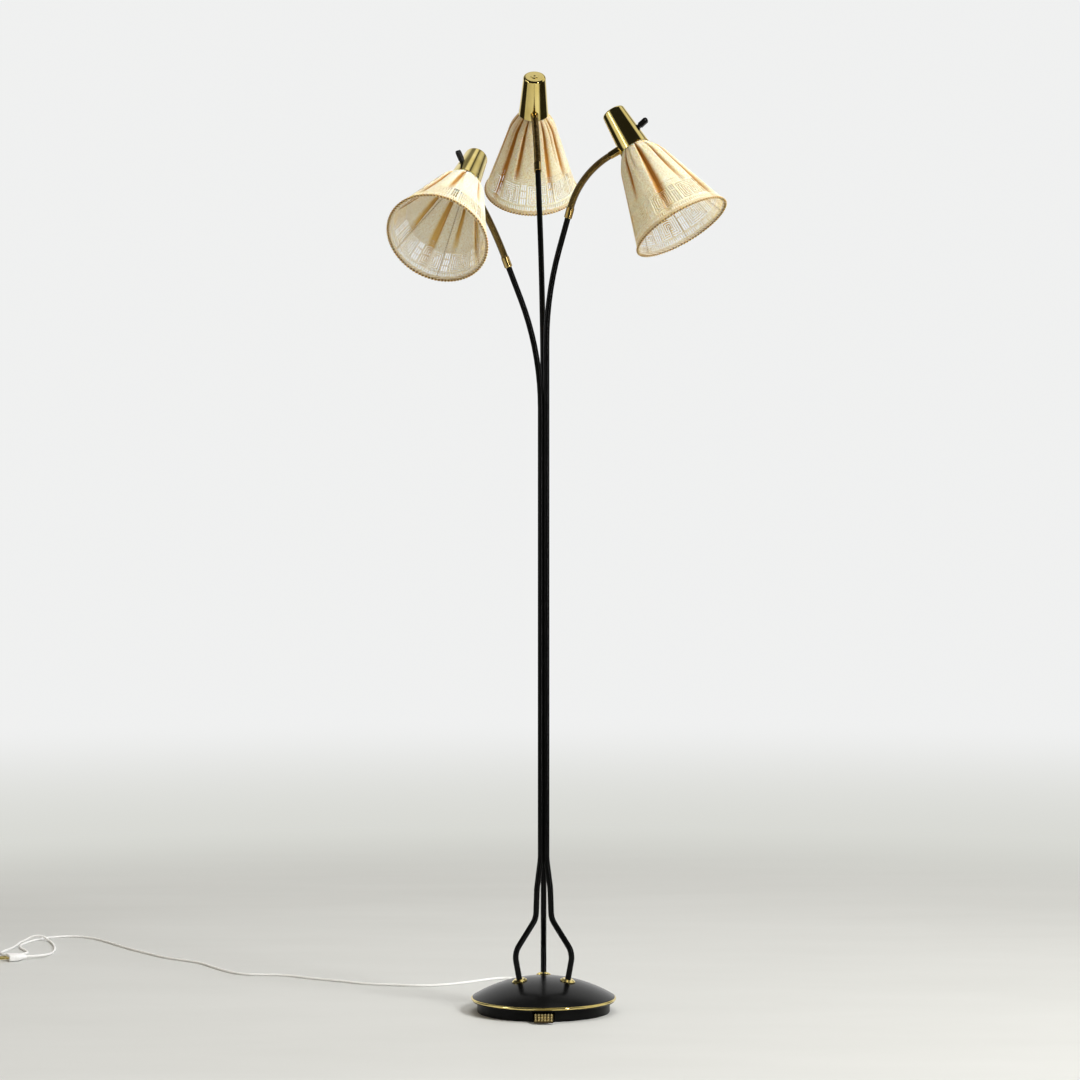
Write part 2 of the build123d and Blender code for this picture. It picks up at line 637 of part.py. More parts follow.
def pleat_radii(drop):
    """Crest and valley radius of the gathered cloth at a distance below the cap's mouth."""
    share = drop / SHADE_LENGTH
    swell = PLEAT_SWELL * sin(pi / 2 * min(drop / PLEAT_SWELL_DROP, 1))
    crest = GATHER_RADIUS + swell + (SHADE_RIM_RADIUS - GATHER_RADIUS - swell) * share
    full_depth = PLEAT_DEPTH * (1 - share) ** 1.5
    depth = GATHER_DEPTH + (full_depth - GATHER_DEPTH) * min(drop / PLEAT_OPENS, 1)
    return crest, crest - depth


def pleat_outline(drop, inset):
    """Closed outline of the cloth: an arc over each crest and an arc through each valley."""
    crest, valley = pleat_radii(drop)
    crest -= inset
    valley -= inset
    middle = (crest + valley) / 2
    step = 360 / PLEATS
    for pleat in range(PLEATS):
        at = pleat * step

        def point(radius, angle):
            return (radius * cos(radians(angle)), radius * sin(radians(angle)))

        ThreePointArc(point(middle, at - step / 4), point(crest, at), point(middle, at + step / 4))
        ThreePointArc(point(middle, at + step / 4), point(valley, at + step / 2),
                      point(middle, at + step * 3 / 4))


for arm in ARMS:
    name = arm["name"]
    frame = head_frame(arm)
    tube_stop = frame["tube_stop"]
    neck = frame["neck"]
    cap_plane = frame["cap"]
    section = frame["section"]
    cap_axis = Axis(cap_plane.origin, cap_plane.z_dir)
    neck_top = neck(neck_length)
    ferrule_top = neck(0)
    tilt = radians(TOGGLE_TILT)
    reach = cap_radius(TOGGLE_HEIGHT) - TOGGLE_PIVOT
    slot_height = TOGGLE_WAIST / cos(tilt) + 2 * reach * tan(tilt) + 1

    with BuildPart() as ferrule:
        with BuildSketch(tube_stop):
            Circle(FERRULE_RADIUS)
        extrude(amount=FERRULE_LENGTH)
        chamfer(ferrule.edges().filter_by(GeomType.CIRCLE), 0.5)
        with BuildSketch(tube_stop):
            Circle(TUBE_RADIUS + THREAD_SLIP)
        extrude(amount=TUBE_IN_FERRULE + SLIP, mode=Mode.SUBTRACT)
        with BuildSketch(tube_stop):
            Circle(HOSE_BORE)
        extrude(amount=FERRULE_LENGTH, mode=Mode.SUBTRACT)
        with BuildSketch(ferrule_top):
            Circle(SPIGOT_RADIUS + THREAD_SLIP)
        extrude(amount=-SPIGOT_LENGTH - SLIP, mode=Mode.SUBTRACT)
    save(ferrule.part, f"ferrule_{name}")

    save(ribbed_length(neck, 0, ferrule_top, -1), f"neck_lower_{name}")
    save(ribbed_length(neck, RIBS_PER_LENGTH, neck_top, 1), f"neck_upper_{name}")

    with BuildPart() as neck_sleeve:
        shoulder = SLEEVE_LENGTH + NIPPLE_LENGTH / 2
        with BuildSketch(neck_top):
            Circle(SLEEVE_RADIUS_LOW)
        with BuildSketch(neck_top.offset(shoulder)):
            Circle(SLEEVE_RADIUS_HIGH)
        loft()
        with BuildSketch(section):
            with BuildLine():
                Polyline(*cone_profile(0, CAP_LENGTH), close=True)
            make_face()
        revolve(axis=cap_axis, mode=Mode.SUBTRACT)
        with BuildSketch(neck_top.offset(SLEEVE_LENGTH - 1)):
            Circle(NIPPLE_RADIUS)
        extrude(amount=NIPPLE_LENGTH + 1)
        with BuildSketch(neck_top):
            Circle(SPIGOT_RADIUS + THREAD_SLIP)
        extrude(amount=SPIGOT_LENGTH + SLIP, mode=Mode.SUBTRACT)
        with BuildSketch(neck_top):
            Circle(HOSE_BORE)
        extrude(amount=SLEEVE_LENGTH + NIPPLE_LENGTH, mode=Mode.SUBTRACT)
    save(neck_sleeve.part, f"neck_sleeve_{name}")

    nut_seat = neck_top.offset(SLEEVE_LENGTH + CAP_SHEET + NUT_GAP)
    with BuildPart() as neck_nut:
        with BuildSketch(nut_seat):
            RegularPolygon(NECK_NUT_FLATS / 2, 6, major_radius=False)
            Circle(NIPPLE_RADIUS + THREAD_SLIP, mode=Mode.SUBTRACT)
        extrude(amount=NECK_NUT_THICK)
    save(neck_nut.part, f"neck_nut_{name}")

    with BuildPart() as cap:
        with BuildSketch(section) as cap_side:
            with BuildLine():
                Polyline(*cone_profile(0, CAP_LENGTH), close=True)
            make_face()
            fillet(cap_side.vertices().sort_by_distance((CAP_TOP_RADIUS, CAP_LENGTH))[0], CAP_ROUND)
            inside_top = CAP_LENGTH - CAP_SHEET
            with BuildSketch(mode=Mode.PRIVATE) as hollow:
                with BuildLine():
                    Polyline(*cone_profile(CAP_SHEET, inside_top), close=True)
                make_face()
                inside_corner = (cap_radius(inside_top) - CAP_SHEET, inside_top)
                fillet(hollow.vertices().sort_by_distance(inside_corner)[0], CAP_ROUND - CAP_SHEET)
            add(hollow.sketch, mode=Mode.SUBTRACT)
        revolve(axis=cap_axis)
        # hole for the eyelet's barrel
        with BuildSketch(cap_plane.offset(CAP_LENGTH)):
            Circle(EYELET_BARREL + THREAD_SLIP)
        extrude(amount=-3 * CAP_SHEET, mode=Mode.SUBTRACT)
        # hole for the sleeve's nipple
        with BuildSketch(neck_top.offset(SLEEVE_LENGTH - 2)):
            Circle(NIPPLE_RADIUS + THREAD_SLIP)
        extrude(amount=6, mode=Mode.SUBTRACT)
        # slot for the toggle
        with BuildSketch(Plane(origin=section.origin, x_dir=section.z_dir * -1, z_dir=section.x_dir)):
            with Locations((0, TOGGLE_HEIGHT)):
                RectangleRounded(TOGGLE_THICK + 1, slot_height, 1)
        extrude(amount=CAP_MOUTH_RADIUS + 1, mode=Mode.SUBTRACT)
        # small slot near the mouth
        with BuildSketch(section):
            with Locations((0, CAP_SLOT_HEIGHT)):
                SlotOverall(CAP_SLOT[1], CAP_SLOT[0], rotation=90)
        extrude(amount=-CAP_MOUTH_RADIUS - 1, mode=Mode.SUBTRACT)
    save(cap.part, f"cap_{name}")

    with BuildPart() as cap_eyelet:
        with BuildSketch(cap_plane.offset(CAP_LENGTH)):
            Circle(EYELET_RADIUS)
        extrude(amount=EYELET_FLANGE)
        chamfer(cap_eyelet.edges().filter_by(GeomType.CIRCLE).sort_by(cap_axis)[-1], EYELET_FLANGE / 2)
        with BuildSketch(cap_plane.offset(CAP_LENGTH)):
            Circle(EYELET_BARREL)
        extrude(amount=HOLDER_TOP - CAP_LENGTH - EYELET_GRIP)
        with BuildSketch(cap_plane.offset(CAP_LENGTH + EYELET_FLANGE)):
            Circle(EYELET_BORE)
        extrude(amount=-CAP_LENGTH / 2, mode=Mode.SUBTRACT)
    save(cap_eyelet.part, f"cap_eyelet_{name}")

    # the toggle's plane: X along the lever, Z along its pivot
    pivot = cap_plane.from_local_coords((TOGGLE_PIVOT, 0, TOGGLE_HEIGHT))
    lever_way = cap_plane.x_dir.rotate(Axis((0, 0, 0), section.z_dir), TOGGLE_TILT)
    lever_plane = Plane(origin=pivot, x_dir=lever_way, z_dir=section.z_dir)
    pivot_plane = Plane(origin=pivot, x_dir=cap_plane.x_dir, z_dir=section.z_dir)

    with BuildPart() as lamp_holder:
        with BuildSketch(section):
            with BuildLine():
                Polyline((0, SOCKET_BOTTOM + SOCKET_DEPTH), (SOCKET_BORE, SOCKET_BOTTOM + SOCKET_DEPTH),
                         (SOCKET_BORE, SOCKET_BOTTOM), (SOCKET_RADIUS, SOCKET_BOTTOM),
                         (SOCKET_RADIUS, HOLDER_BODY_BOTTOM), (HOLDER_BODY_RADIUS, HOLDER_BODY_BOTTOM),
                         (HOLDER_BODY_RADIUS, HOLDER_TOP), (0, HOLDER_TOP), close=True)
            make_face()
        revolve(axis=cap_axis)
        with BuildSketch(cap_plane.offset(HOLDER_TOP)):
            Circle(EYELET_BARREL + THREAD_SLIP)
        extrude(amount=-EYELET_GRIP - SLIP, mode=Mode.SUBTRACT)
        # room for the toggle, and the bores of its trunnions
        with BuildSketch(pivot_plane):
            room = TOGGLE_ROOM + HOLDER_BODY_RADIUS - TOGGLE_PIVOT + 1
            with Locations((room / 2 - TOGGLE_ROOM, 0)):
                Rectangle(room, slot_height + 1)
        extrude(amount=TOGGLE_THICK / 2 + 2 * SLIP, both=True, mode=Mode.SUBTRACT)
        with BuildSketch(pivot_plane):
            Circle(TRUNNION_RADIUS + THREAD_SLIP)
        extrude(amount=TRUNNION_LENGTH / 2 + SLIP, both=True, mode=Mode.SUBTRACT)
    save(lamp_holder.part, f"lamp_holder_{name}")

    toggle_tip = reach + TOGGLE_OUT
    paddle_end = toggle_tip - TOGGLE_HIGH / 2
    paddle_start = toggle_tip - TOGGLE_OUT + TOGGLE_SHANK
    with BuildPart() as toggle:
        with BuildSketch(lever_plane) as lever_face:
            Circle(TOGGLE_WAIST / 2)
            with Locations((paddle_start / 2, 0)):
                Rectangle(paddle_start, TOGGLE_WAIST)
            with Locations(((paddle_start + paddle_end) / 2, 0)):
                Rectangle(paddle_end - paddle_start, TOGGLE_HIGH)
            with Locations((paddle_end, 0)):
                Circle(TOGGLE_HIGH / 2)
            with Locations((paddle_end + 1, 0)):
                Circle(TOGGLE_HOLE, mode=Mode.SUBTRACT)
        extrude(amount=TOGGLE_THICK / 2, both=True)
        with BuildSketch(pivot_plane):
            Circle(TRUNNION_RADIUS)
        extrude(amount=TRUNNION_LENGTH / 2, both=True)
    save(toggle.part, f"toggle_{name}")

    ring_drop = SHADE_LENGTH - 2
    ring_radius = pleat_radii(ring_drop - WIRE_RADIUS)[1] - SHADE_CLOTH - WIRE_RADIUS - SLIP
    with BuildPart() as shade_frame:
        # hub that the holder's ring clamps
        with BuildSketch(cap_plane.offset(-FRAME_HEIGHT - HUB_THICK / 2)):
            Circle(SOCKET_RADIUS + THREAD_SLIP + HUB_WIDTH)
            Circle(SOCKET_RADIUS + THREAD_SLIP, mode=Mode.SUBTRACT)
        extrude(amount=HUB_THICK)
        # upper and lower ring
        for radius, below_mouth in ((FRAME_TOP_RADIUS, FRAME_HEIGHT), (ring_radius, ring_drop)):
            with BuildSketch(section):
                with Locations((radius, -below_mouth)):
                    Circle(WIRE_RADIUS)
            revolve(axis=cap_axis)
        for rib in range(RIB_COUNT):
            way = cap_plane.x_dir.rotate(Axis((0, 0, 0), cap_plane.z_dir), (rib + 0.5) * 360 / RIB_COUNT)
            top = cap_plane.origin - cap_plane.z_dir * FRAME_HEIGHT + way * FRAME_TOP_RADIUS
            low = cap_plane.origin - cap_plane.z_dir * ring_drop + way * ring_radius
            inner = top - way * (FRAME_TOP_RADIUS - SOCKET_RADIUS - HUB_WIDTH / 2)
            with BuildSketch(Plane(origin=inner, z_dir=way)):
                Circle(RIB_WIRE_RADIUS)
            extrude(amount=(top - inner).length)
            with BuildSketch(Plane(origin=top, z_dir=(low - top).normalized())):
                Circle(RIB_WIRE_RADIUS)
            extrude(amount=(low - top).length)
    save(shade_frame.part, f"shade_frame_{name}")

    shade_drops = [-TUCK, 1.0, PLEAT_OPENS / 2, 22.0, 50.0, 90.0, 130.0, SHADE_LENGTH]
    with BuildPart() as shade:
        for drop in shade_drops:
            with BuildSketch(cap_plane.offset(-drop)):
                with BuildLine():
                    pleat_outline(max(drop, 0), 0)
                make_face()
        loft(ruled=True)
        for drop in shade_drops:
            with BuildSketch(cap_plane.offset(-drop)):
                with BuildLine():
                    pleat_outline(max(drop, 0), SHADE_CLOTH)
                make_face()
        loft(ruled=True, mode=Mode.SUBTRACT)
    save(shade.part, f"shade_{name}")

# ---------------------------------------------------------------- supply cord
gland_outside = Plane(origin=(0, BAND_RADIUS, EXIT_HEIGHT), x_dir=(1, 0, 0), z_dir=(0, 1, 0))

with BuildPart() as cord_gland:
    with BuildSketch(gland_outside.offset(-GLAND_INSIDE)):
        Circle(GLAND_GROOVE)
    extrude(amount=GLAND_INSIDE + 1)
    with BuildSketch(gland_outside.offset(-GLAND_INSIDE)):
        Circle(GLAND_RADIUS)
    extrude(amount=GLAND_INSIDE - PAN_SHEET - SLIP)
    with BuildSketch(gland_outside.offset(SLIP)):
        Circle(GLAND_RADIUS)
    with BuildSketch(gland_outside.offset(GLAND_TAPER)):
        Circle(GLAND_END_RADIUS)
    loft()
    with BuildSketch(gland_outside.offset(-GLAND_INSIDE)):
        Circle(CORD_RADIUS + SLIP)
    extrude(amount=GLAND_INSIDE + GLAND_TAPER, mode=Mode.SUBTRACT)
save(cord_gland.part, "cord_gland")

lie = CORD_RADIUS + 0.05        # the cord's middle where it lies on the floor
over = 4.4 * CORD_RADIUS        # and where it crosses over itself
cord_exit = gland_outside.origin + gland_outside.z_dir * GLAND_TAPER
plug_end = Vector(-997, 596, PLUG_HEIGHT / 2)
plug_way = Vector(-19, -8, 0).normalized()
CORD_ROUTE = [
    cord_exit, Vector(0, 158, EXIT_HEIGHT), Vector(-2, 186, 4.2), Vector(-6, 220, lie),
    Vector(-13, 264, lie), Vector(-24, 312, lie), Vector(-46, 352, lie), Vector(-76, 358, lie),
    Vector(-104, 338, lie), Vector(-136, 306, lie), Vector(-178, 274, lie), Vector(-226, 263, lie),
    Vector(-276, 276, lie), Vector(-326, 288, lie), Vector(-376, 324, lie), Vector(-430, 354, lie),
    Vector(-478, 392, lie), Vector(-516, 396, lie), Vector(-556, 398, lie), Vector(-590, 434, lie),
    Vector(-624, 490, lie), Vector(-654, 546, lie), Vector(-690, 578, lie), Vector(-728, 610, lie),
    Vector(-766, 660, lie), Vector(-806, 716, lie), Vector(-844, 776, lie), Vector(-880, 836, lie),
    Vector(-914, 886, lie), Vector(-950, 908, lie), Vector(-981, 905, lie), Vector(-1003, 890, lie),
    Vector(-1018, 868, lie), Vector(-1030, 842, lie), Vector(-1038, 814, lie), Vector(-1041, 784, lie),
    Vector(-1038, 755, lie), Vector(-1030, 731, lie), Vector(-1020, 710, lie), Vector(-1011, 690, lie),
    Vector(-1009, 669, lie), Vector(-1019, 652, lie), Vector(-1038, 646, lie), Vector(-1055, 656, lie),
    Vector(-1061, 676, lie), Vector(-1059, 702, lie), Vector(-1053, 730, lie), Vector(-1049, 760, lie),
    Vector(-1049, 794, lie), Vector(-1050, 825, lie), Vector(-1045, 848, lie), Vector(-1030.5, 861, over),
    Vector(-1010.5, 860, over), Vector(-996, 844, lie), Vector(-986, 818, lie), Vector(-976, 784, lie),
    Vector(-968, 748, lie), Vector(-962, 712, lie), Vector(-960, 676, lie), Vector(-964, 643, 3.5),
    plug_end - plug_way * 22, plug_end]


def bend_radii(points):
    """For each corner, 0.45 of its shorter run divided by the tangent of half its turn."""
    radii = []
    for before, corner, after in zip(points, points[1:], points[2:]):
        run_in = corner - before
        run_out = after - corner
        shorter = min(run_in.length, run_out.length)
        radii.append(0.45 * shorter / tan(radians(run_in.get_angle(run_out)) / 2))
    return radii


cord_bends = bend_radii(CORD_ROUTE)
with BuildPart() as mains_cord:
    with BuildLine() as route:
        FilletPolyline(*CORD_ROUTE, radius=cord_bends)
    with BuildSketch(Plane(origin=route.line @ 0, z_dir=route.line % 0)):
        Circle(CORD_RADIUS)
    sweep()
save(mains_cord.part, "mains_cord")
cord_length = route.wire().length
volume_ratio = mains_cord.part.volume / (pi * CORD_RADIUS ** 2 * cord_length)
print("cord length", round(cord_length), "bend radii", [round(bend) for bend in cord_bends])
print("cord volume / (section x length)", round(volume_ratio, 4))

with BuildPart() as supply_lead:
    with BuildSketch(gland_outside.offset(GLAND_TAPER)):
        Circle(CORD_RADIUS)
    extrude(amount=-(GLAND_TAPER + BAND_RADIUS - TERMINAL_SIZE[1] / 2 - SLIP))
save(supply_lead.part, "supply_lead")

tail_plane = Plane(origin=plug_end, x_dir=Vector(0, 0, 1).cross(plug_way), z_dir=plug_way)

with BuildPart() as plug_body:
    for along, width, height in ((0, PLUG_TAIL, PLUG_TAIL), (0.25, PLUG_TAIL * 1.5, PLUG_TAIL * 1.2),
                                 (0.6, PLUG_WIDTH, PLUG_HEIGHT), (1, PLUG_WIDTH, PLUG_HEIGHT)):
        with BuildSketch(tail_plane.offset(along * PLUG_LENGTH)):
            RectangleRounded(width, height, height * 0.42)
    loft(ruled=True)
    with BuildSketch(tail_plane.offset(PLUG_LENGTH)):
        with GridLocations(PLUG_PIN_SPACING, 0, 2, 1):
            Circle(PLUG_PIN_RADIUS + THREAD_SLIP)
    extrude(amount=-PLUG_PIN_INSIDE - SLIP, mode=Mode.SUBTRACT)
save(plug_body.part, "plug_body")

with BuildPart() as plug_pins:
    with BuildSketch(tail_plane.offset(PLUG_LENGTH - PLUG_PIN_INSIDE)):
        with GridLocations(PLUG_PIN_SPACING, 0, 2, 1):
            Circle(PLUG_PIN_RADIUS)
    extrude(amount=PLUG_PIN_INSIDE + PLUG_PIN_LENGTH)
    fillet(plug_pins.edges().filter_by(GeomType.CIRCLE).group_by(Axis(plug_end, plug_way))[-1], 1.2)
save(plug_pins.part, "plug_pins")
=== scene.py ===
# %% [markdown]
# # A tree floor lamp, dressed for its portrait
#
# The lamp is already built as a mechanical model: a heavy domed base, three tubes that rise side by
# side and part into arms, a brass gooseneck and a cap on each arm, and a gathered cloth shade under
# each cap. This script loads that model as a fixed frame and gives it its looks. Hard parts whose
# shape is right keep their mesh and get a material. Soft and fine parts, such as the cloth, the
# ribbed hoses and the cord, are worked out again here as finer surfaces.

# %% Load the frame
import json

import bpy
import numpy as np
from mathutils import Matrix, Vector

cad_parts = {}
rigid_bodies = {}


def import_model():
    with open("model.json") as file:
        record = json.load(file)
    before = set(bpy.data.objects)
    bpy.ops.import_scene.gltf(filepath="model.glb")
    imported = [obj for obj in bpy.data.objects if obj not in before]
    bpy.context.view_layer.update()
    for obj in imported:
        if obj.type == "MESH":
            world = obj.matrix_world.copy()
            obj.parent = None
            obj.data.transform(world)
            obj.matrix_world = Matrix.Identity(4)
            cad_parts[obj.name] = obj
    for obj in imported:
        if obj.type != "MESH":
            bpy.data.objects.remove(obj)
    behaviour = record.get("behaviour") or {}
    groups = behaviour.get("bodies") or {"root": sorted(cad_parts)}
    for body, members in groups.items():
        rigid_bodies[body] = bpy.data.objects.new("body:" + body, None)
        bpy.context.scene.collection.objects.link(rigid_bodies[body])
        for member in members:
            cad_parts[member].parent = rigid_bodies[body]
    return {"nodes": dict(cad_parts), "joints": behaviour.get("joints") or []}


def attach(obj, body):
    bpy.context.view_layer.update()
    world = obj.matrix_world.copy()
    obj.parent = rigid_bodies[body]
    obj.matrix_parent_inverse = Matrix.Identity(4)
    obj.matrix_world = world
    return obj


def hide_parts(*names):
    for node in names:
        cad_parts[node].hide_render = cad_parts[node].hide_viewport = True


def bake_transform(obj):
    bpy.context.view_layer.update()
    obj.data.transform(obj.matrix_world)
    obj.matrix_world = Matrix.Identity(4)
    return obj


for leftover in list(bpy.data.objects):
    bpy.data.objects.remove(leftover)

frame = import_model()
nodes = frame["nodes"]
bpy.context.view_layer.update()

MM = 0.001
HEADS = ("left", "right", "back")


def placed(name, data):
    """A new object in the scene that shows the given data."""
    thing = bpy.data.objects.new(name, data)
    bpy.context.scene.collection.objects.link(thing)
    return thing


# %% [markdown]
# ## The camera
#
# A product photographer stands well back and uses a long lens, so the lamp's upright lines stay
# parallel. The camera here stands 4.9 m away at a little under half the lamp's height and looks
# level along +Y. The lens follows from how many picture widths fit that distance.

# %% Camera
CAMERA_PLACE = (-0.0062, -4.899, 0.810)
SENSOR_WIDTH = 36.0
PICTURE_WIDTH = 1080.0
FOCAL_IN_PIXELS = 2849.0

camera_data = bpy.data.cameras.new("camera")
camera_data.sensor_width = SENSOR_WIDTH
camera_data.lens = FOCAL_IN_PIXELS / PICTURE_WIDTH * SENSOR_WIDTH
camera_data.clip_end = 100.0
camera = placed("camera", camera_data)
camera.location = CAMERA_PLACE
camera.rotation_euler = (np.pi / 2, 0.0, 0.0)
bpy.context.scene.camera = camera
print("lens", round(camera_data.lens, 2), "mm")

# %% [markdown]
# ## Helpers for materials
#
# Every finish is a small node tree around one Principled shader. Two helpers keep the trees short:
# one starts a material and returns its shader, the other adds a node and wires its inputs. A value
# that is the same all over a surface is set on the shader itself; only what varies is wired in.


# %% Material helpers
def new_finish(name, **values):
    """A node material with one Principled shader, whose named sockets get the given values."""
    material = bpy.data.materials.new(name)
    material.use_nodes = True
    tree = material.node_tree
    shader = tree.nodes["Principled BSDF"]
    for socket, value in values.items():
        shader.inputs[socket.replace("_", " ")].default_value = value
    return material, tree, shader


def add_node(tree, kind, settings=None, **inputs):
    """A node of a kind, with its settings, whose inputs are numbers, colours or other nodes' outputs."""
    node = tree.nodes.new(kind)
    for key, value in (settings or {}).items():
        setattr(node, key, value)
    for key, value in inputs.items():
        key = key.replace("_", " ")
        socket = node.inputs[int(key[3:])] if key.startswith("in ") else node.inputs[key]
        if isinstance(value, bpy.types.NodeSocket):
            tree.links.new(value, socket)
        else:
            socket.default_value = value
    return node


def object_point(tree):
    """The point of the surface in the lamp's own coordinates."""
    return add_node(tree, "ShaderNodeTexCoord").outputs["Object"]


def stretched(tree, vector, scale):
    """The same coordinates, stretched by a factor along each axis."""
    return add_node(tree, "ShaderNodeMapping", Vector=vector, Scale=scale).outputs["Vector"]


def noise(tree, vector, scale, detail=3.0, roughness=0.55):
    """Smooth random values between 0 and 1, of a scale in waves per metre."""
    node = add_node(tree, "ShaderNodeTexNoise", Vector=vector, Scale=scale, Detail=detail,
                    Roughness=roughness)
    return node.outputs["Fac"]


def spread(tree, value, low, high, to_low=0.0, to_high=1.0):
    """A value carried from one range to another."""
    node = add_node(tree, "ShaderNodeMapRange", {"clamp": True}, Value=value)
    for socket, number in zip(("From Min", "From Max", "To Min", "To Max"), (low, high, to_low, to_high)):
        node.inputs[socket].default_value = number
    return node.outputs["Result"]


def smooth_step(tree, value, low, high, full=1.0):
    """None below the low value, full above the high one, and a soft passage between them."""
    node = add_node(tree, "ShaderNodeMapRange", {"interpolation_type": "SMOOTHSTEP"}, Value=value)
    for socket, number in (("From Min", low), ("From Max", high), ("To Max", full)):
        node.inputs[socket].default_value = number
    return node.outputs["Result"]


def mixed_colour(tree, share, first, second):
    """Two colours, each a tuple or another output, mixed by a share."""
    node = add_node(tree, "ShaderNodeMix", {"data_type": "RGBA"})
    for place, value in ((0, share), (6, first), (7, second)):
        if isinstance(value, bpy.types.NodeSocket):
            tree.links.new(value, node.inputs[place])
        else:
            node.inputs[place].default_value = value
    return node.outputs[2]


def calculated(tree, operation, first, second=0.0):
    """One step of arithmetic on two values."""
    return add_node(tree, "ShaderNodeMath", {"operation": operation}, in_0=first, in_1=second).outputs[0]


def raise_surface(tree, shader, height, distance, strength=1.0):
    """Bump: the surface stands up by the height times a distance in metres."""
    bump = add_node(tree, "ShaderNodeBump", Height=height, Distance=distance, Strength=strength)
    tree.links.new(bump.outputs["Normal"], shader.inputs["Normal"])


# %% [markdown]
# ## Hard finishes
#
# The base and the stem wear gloss black enamel: almost black, with a clear reflection and the slight
# orange peel of a sprayed coat. The caps, ring, rosettes and hoses are lacquered brass, which is a
# metal, so its colour belongs to its reflection; faint cloudy smudges and a film of fine scratches
# keep it from looking like a mirror. Brass that is handled or ribbed has gone browner and duller, and
# the hoses' grooves and the gaps between the pedal's studs are painted near black and matt as painted
# shade. The toggles are moulded in black, a little softer than enamel. The cord and plug are white
# plastic that lets a little light in.


# %% Enamel, brass and moulded black
def enamel(name, specular, gloss, peel):
    """Black enamel: orange peel as a low bump, dust and wear as small changes of roughness."""
    material, tree, shader = new_finish(name, Specular_IOR_Level=specular)
    place = object_point(tree)
    cloud = noise(tree, place, 9.0)
    colour = mixed_colour(tree, cloud, (0.0022, 0.0022, 0.0022, 1), (0.0042, 0.0043, 0.0040, 1))
    tree.links.new(colour, shader.inputs["Base Color"])
    dust = spread(tree, noise(tree, place, 60.0, 4.0), 0.40, 0.75, gloss, gloss + 0.06)
    tree.links.new(dust, shader.inputs["Roughness"])
    raise_surface(tree, shader, noise(tree, place, 260.0, 2.0), peel)
    return material


def lacquered_brass(name, colour, deep, low, high, scratch_scale, scratch_depth):
    """Polished brass: cloudy colour, smudged roughness and fine scratches as a bump."""
    material, tree, shader = new_finish(name, Metallic=1.0, Coat_Weight=0.08, Coat_Roughness=0.05)
    place = object_point(tree)
    cloud = spread(tree, noise(tree, place, 26.0, 4.0), 0.35, 0.7)
    tint = mixed_colour(tree, cloud, colour, deep)
    tree.links.new(tint, shader.inputs["Base Color"])
    smudge = spread(tree, noise(tree, place, 70.0, 5.0, 0.65), 0.4, 0.75, low, high)
    tree.links.new(smudge, shader.inputs["Roughness"])
    lines = stretched(tree, place, (1.0, 1.0, 0.12))
    raise_surface(tree, shader, noise(tree, lines, scratch_scale, 2.0), scratch_depth, 0.4)
    return material


def moulded(name, light, dark, rough, grain_scale, grain, **more):
    """Moulded plastic or rubber: a barely uneven colour and the fine grain of the mould."""
    material, tree, shader = new_finish(name, Specular_IOR_Level=0.3, **more)
    place = object_point(tree)
    colour = mixed_colour(tree, noise(tree, place, 60.0), light, dark)
    tree.links.new(colour, shader.inputs["Base Color"])
    sheen = spread(tree, noise(tree, place, 180.0), 0.3, 0.7, rough - 0.05, rough + 0.07)
    tree.links.new(sheen, shader.inputs["Roughness"])
    raise_surface(tree, shader, noise(tree, place, grain_scale, 2.0), grain)
    return material


tube_enamel = enamel("tube_enamel", 0.10, 0.12, 0.000012)
dome_enamel = enamel("dome_enamel", 0.13, 0.19, 0.000010)
satin_enamel = enamel("satin_enamel", 0.08, 0.30, 0.00003)
polished_brass = lacquered_brass("polished_brass", (0.86, 0.70, 0.27, 1), (0.72, 0.56, 0.17, 1),
                                 0.06, 0.13, 900.0, 0.00001)
aged_brass = lacquered_brass("aged_brass", (0.62, 0.45, 0.17, 1), (0.40, 0.27, 0.09, 1),
                             0.16, 0.28, 900.0, 0.00001)


def brass_with_painted_shade(name, colour, dark, share_of, low, high):
    """Brass with painted shade in its hollows, near black and matt, by a share worked out from its tree.
    """
    material, tree, shader = new_finish(name, Metallic=1.0)
    place = object_point(tree)
    cloud = noise(tree, place, 40.0, 4.0)
    bright = mixed_colour(tree, cloud, colour, tuple(0.8 * part for part in colour[:3]) + (1,))
    painted_shade_share = share_of(tree)
    tree.links.new(mixed_colour(tree, painted_shade_share, bright, dark), shader.inputs["Base Color"])
    smudge = spread(tree, noise(tree, place, 90.0, 5.0, 0.65), 0.35, 0.75, low, high)
    matt = calculated(tree, "ADD", smudge, calculated(tree, "MULTIPLY", painted_shade_share, 0.35))
    tree.links.new(matt, shader.inputs["Roughness"])
    raise_surface(tree, shader, noise(tree, place, 1300.0, 2.0), 0.00002, 0.4)
    return material


def groove_shade_share(tree):
    """How deep a point lies in the hose's thread, written on the mesh as an attribute; it sets the
    painted shade in the grooves.
    """
    return add_node(tree, "ShaderNodeAttribute", {"attribute_name": "groove"}).outputs["Fac"]


TREAD_MIDDLE = (0.0, -0.1335, 0.01025)      # a point of the tread's sloping face, in metres
TREAD_WAY = (0.0, -0.5735, 0.8192)          # the way square to that face
STUD_FOOT = 0.2 * MM                        # heights over the face where the dark gap ends
STUD_TOP = 1.1 * MM


def stud_gap_shade_share(tree):
    """Share of painted shade: one between the studs and none on their tops, from the height over the
    tread's sloping face.
    """
    from_middle = add_node(tree, "ShaderNodeVectorMath", {"operation": "SUBTRACT"},
                           in_0=object_point(tree), in_1=TREAD_MIDDLE).outputs["Vector"]
    height = add_node(tree, "ShaderNodeVectorMath", {"operation": "DOT_PRODUCT"}, in_0=from_middle,
                      in_1=TREAD_WAY).outputs["Value"]
    return spread(tree, height, STUD_FOOT, STUD_TOP, 1.0, 0.0)
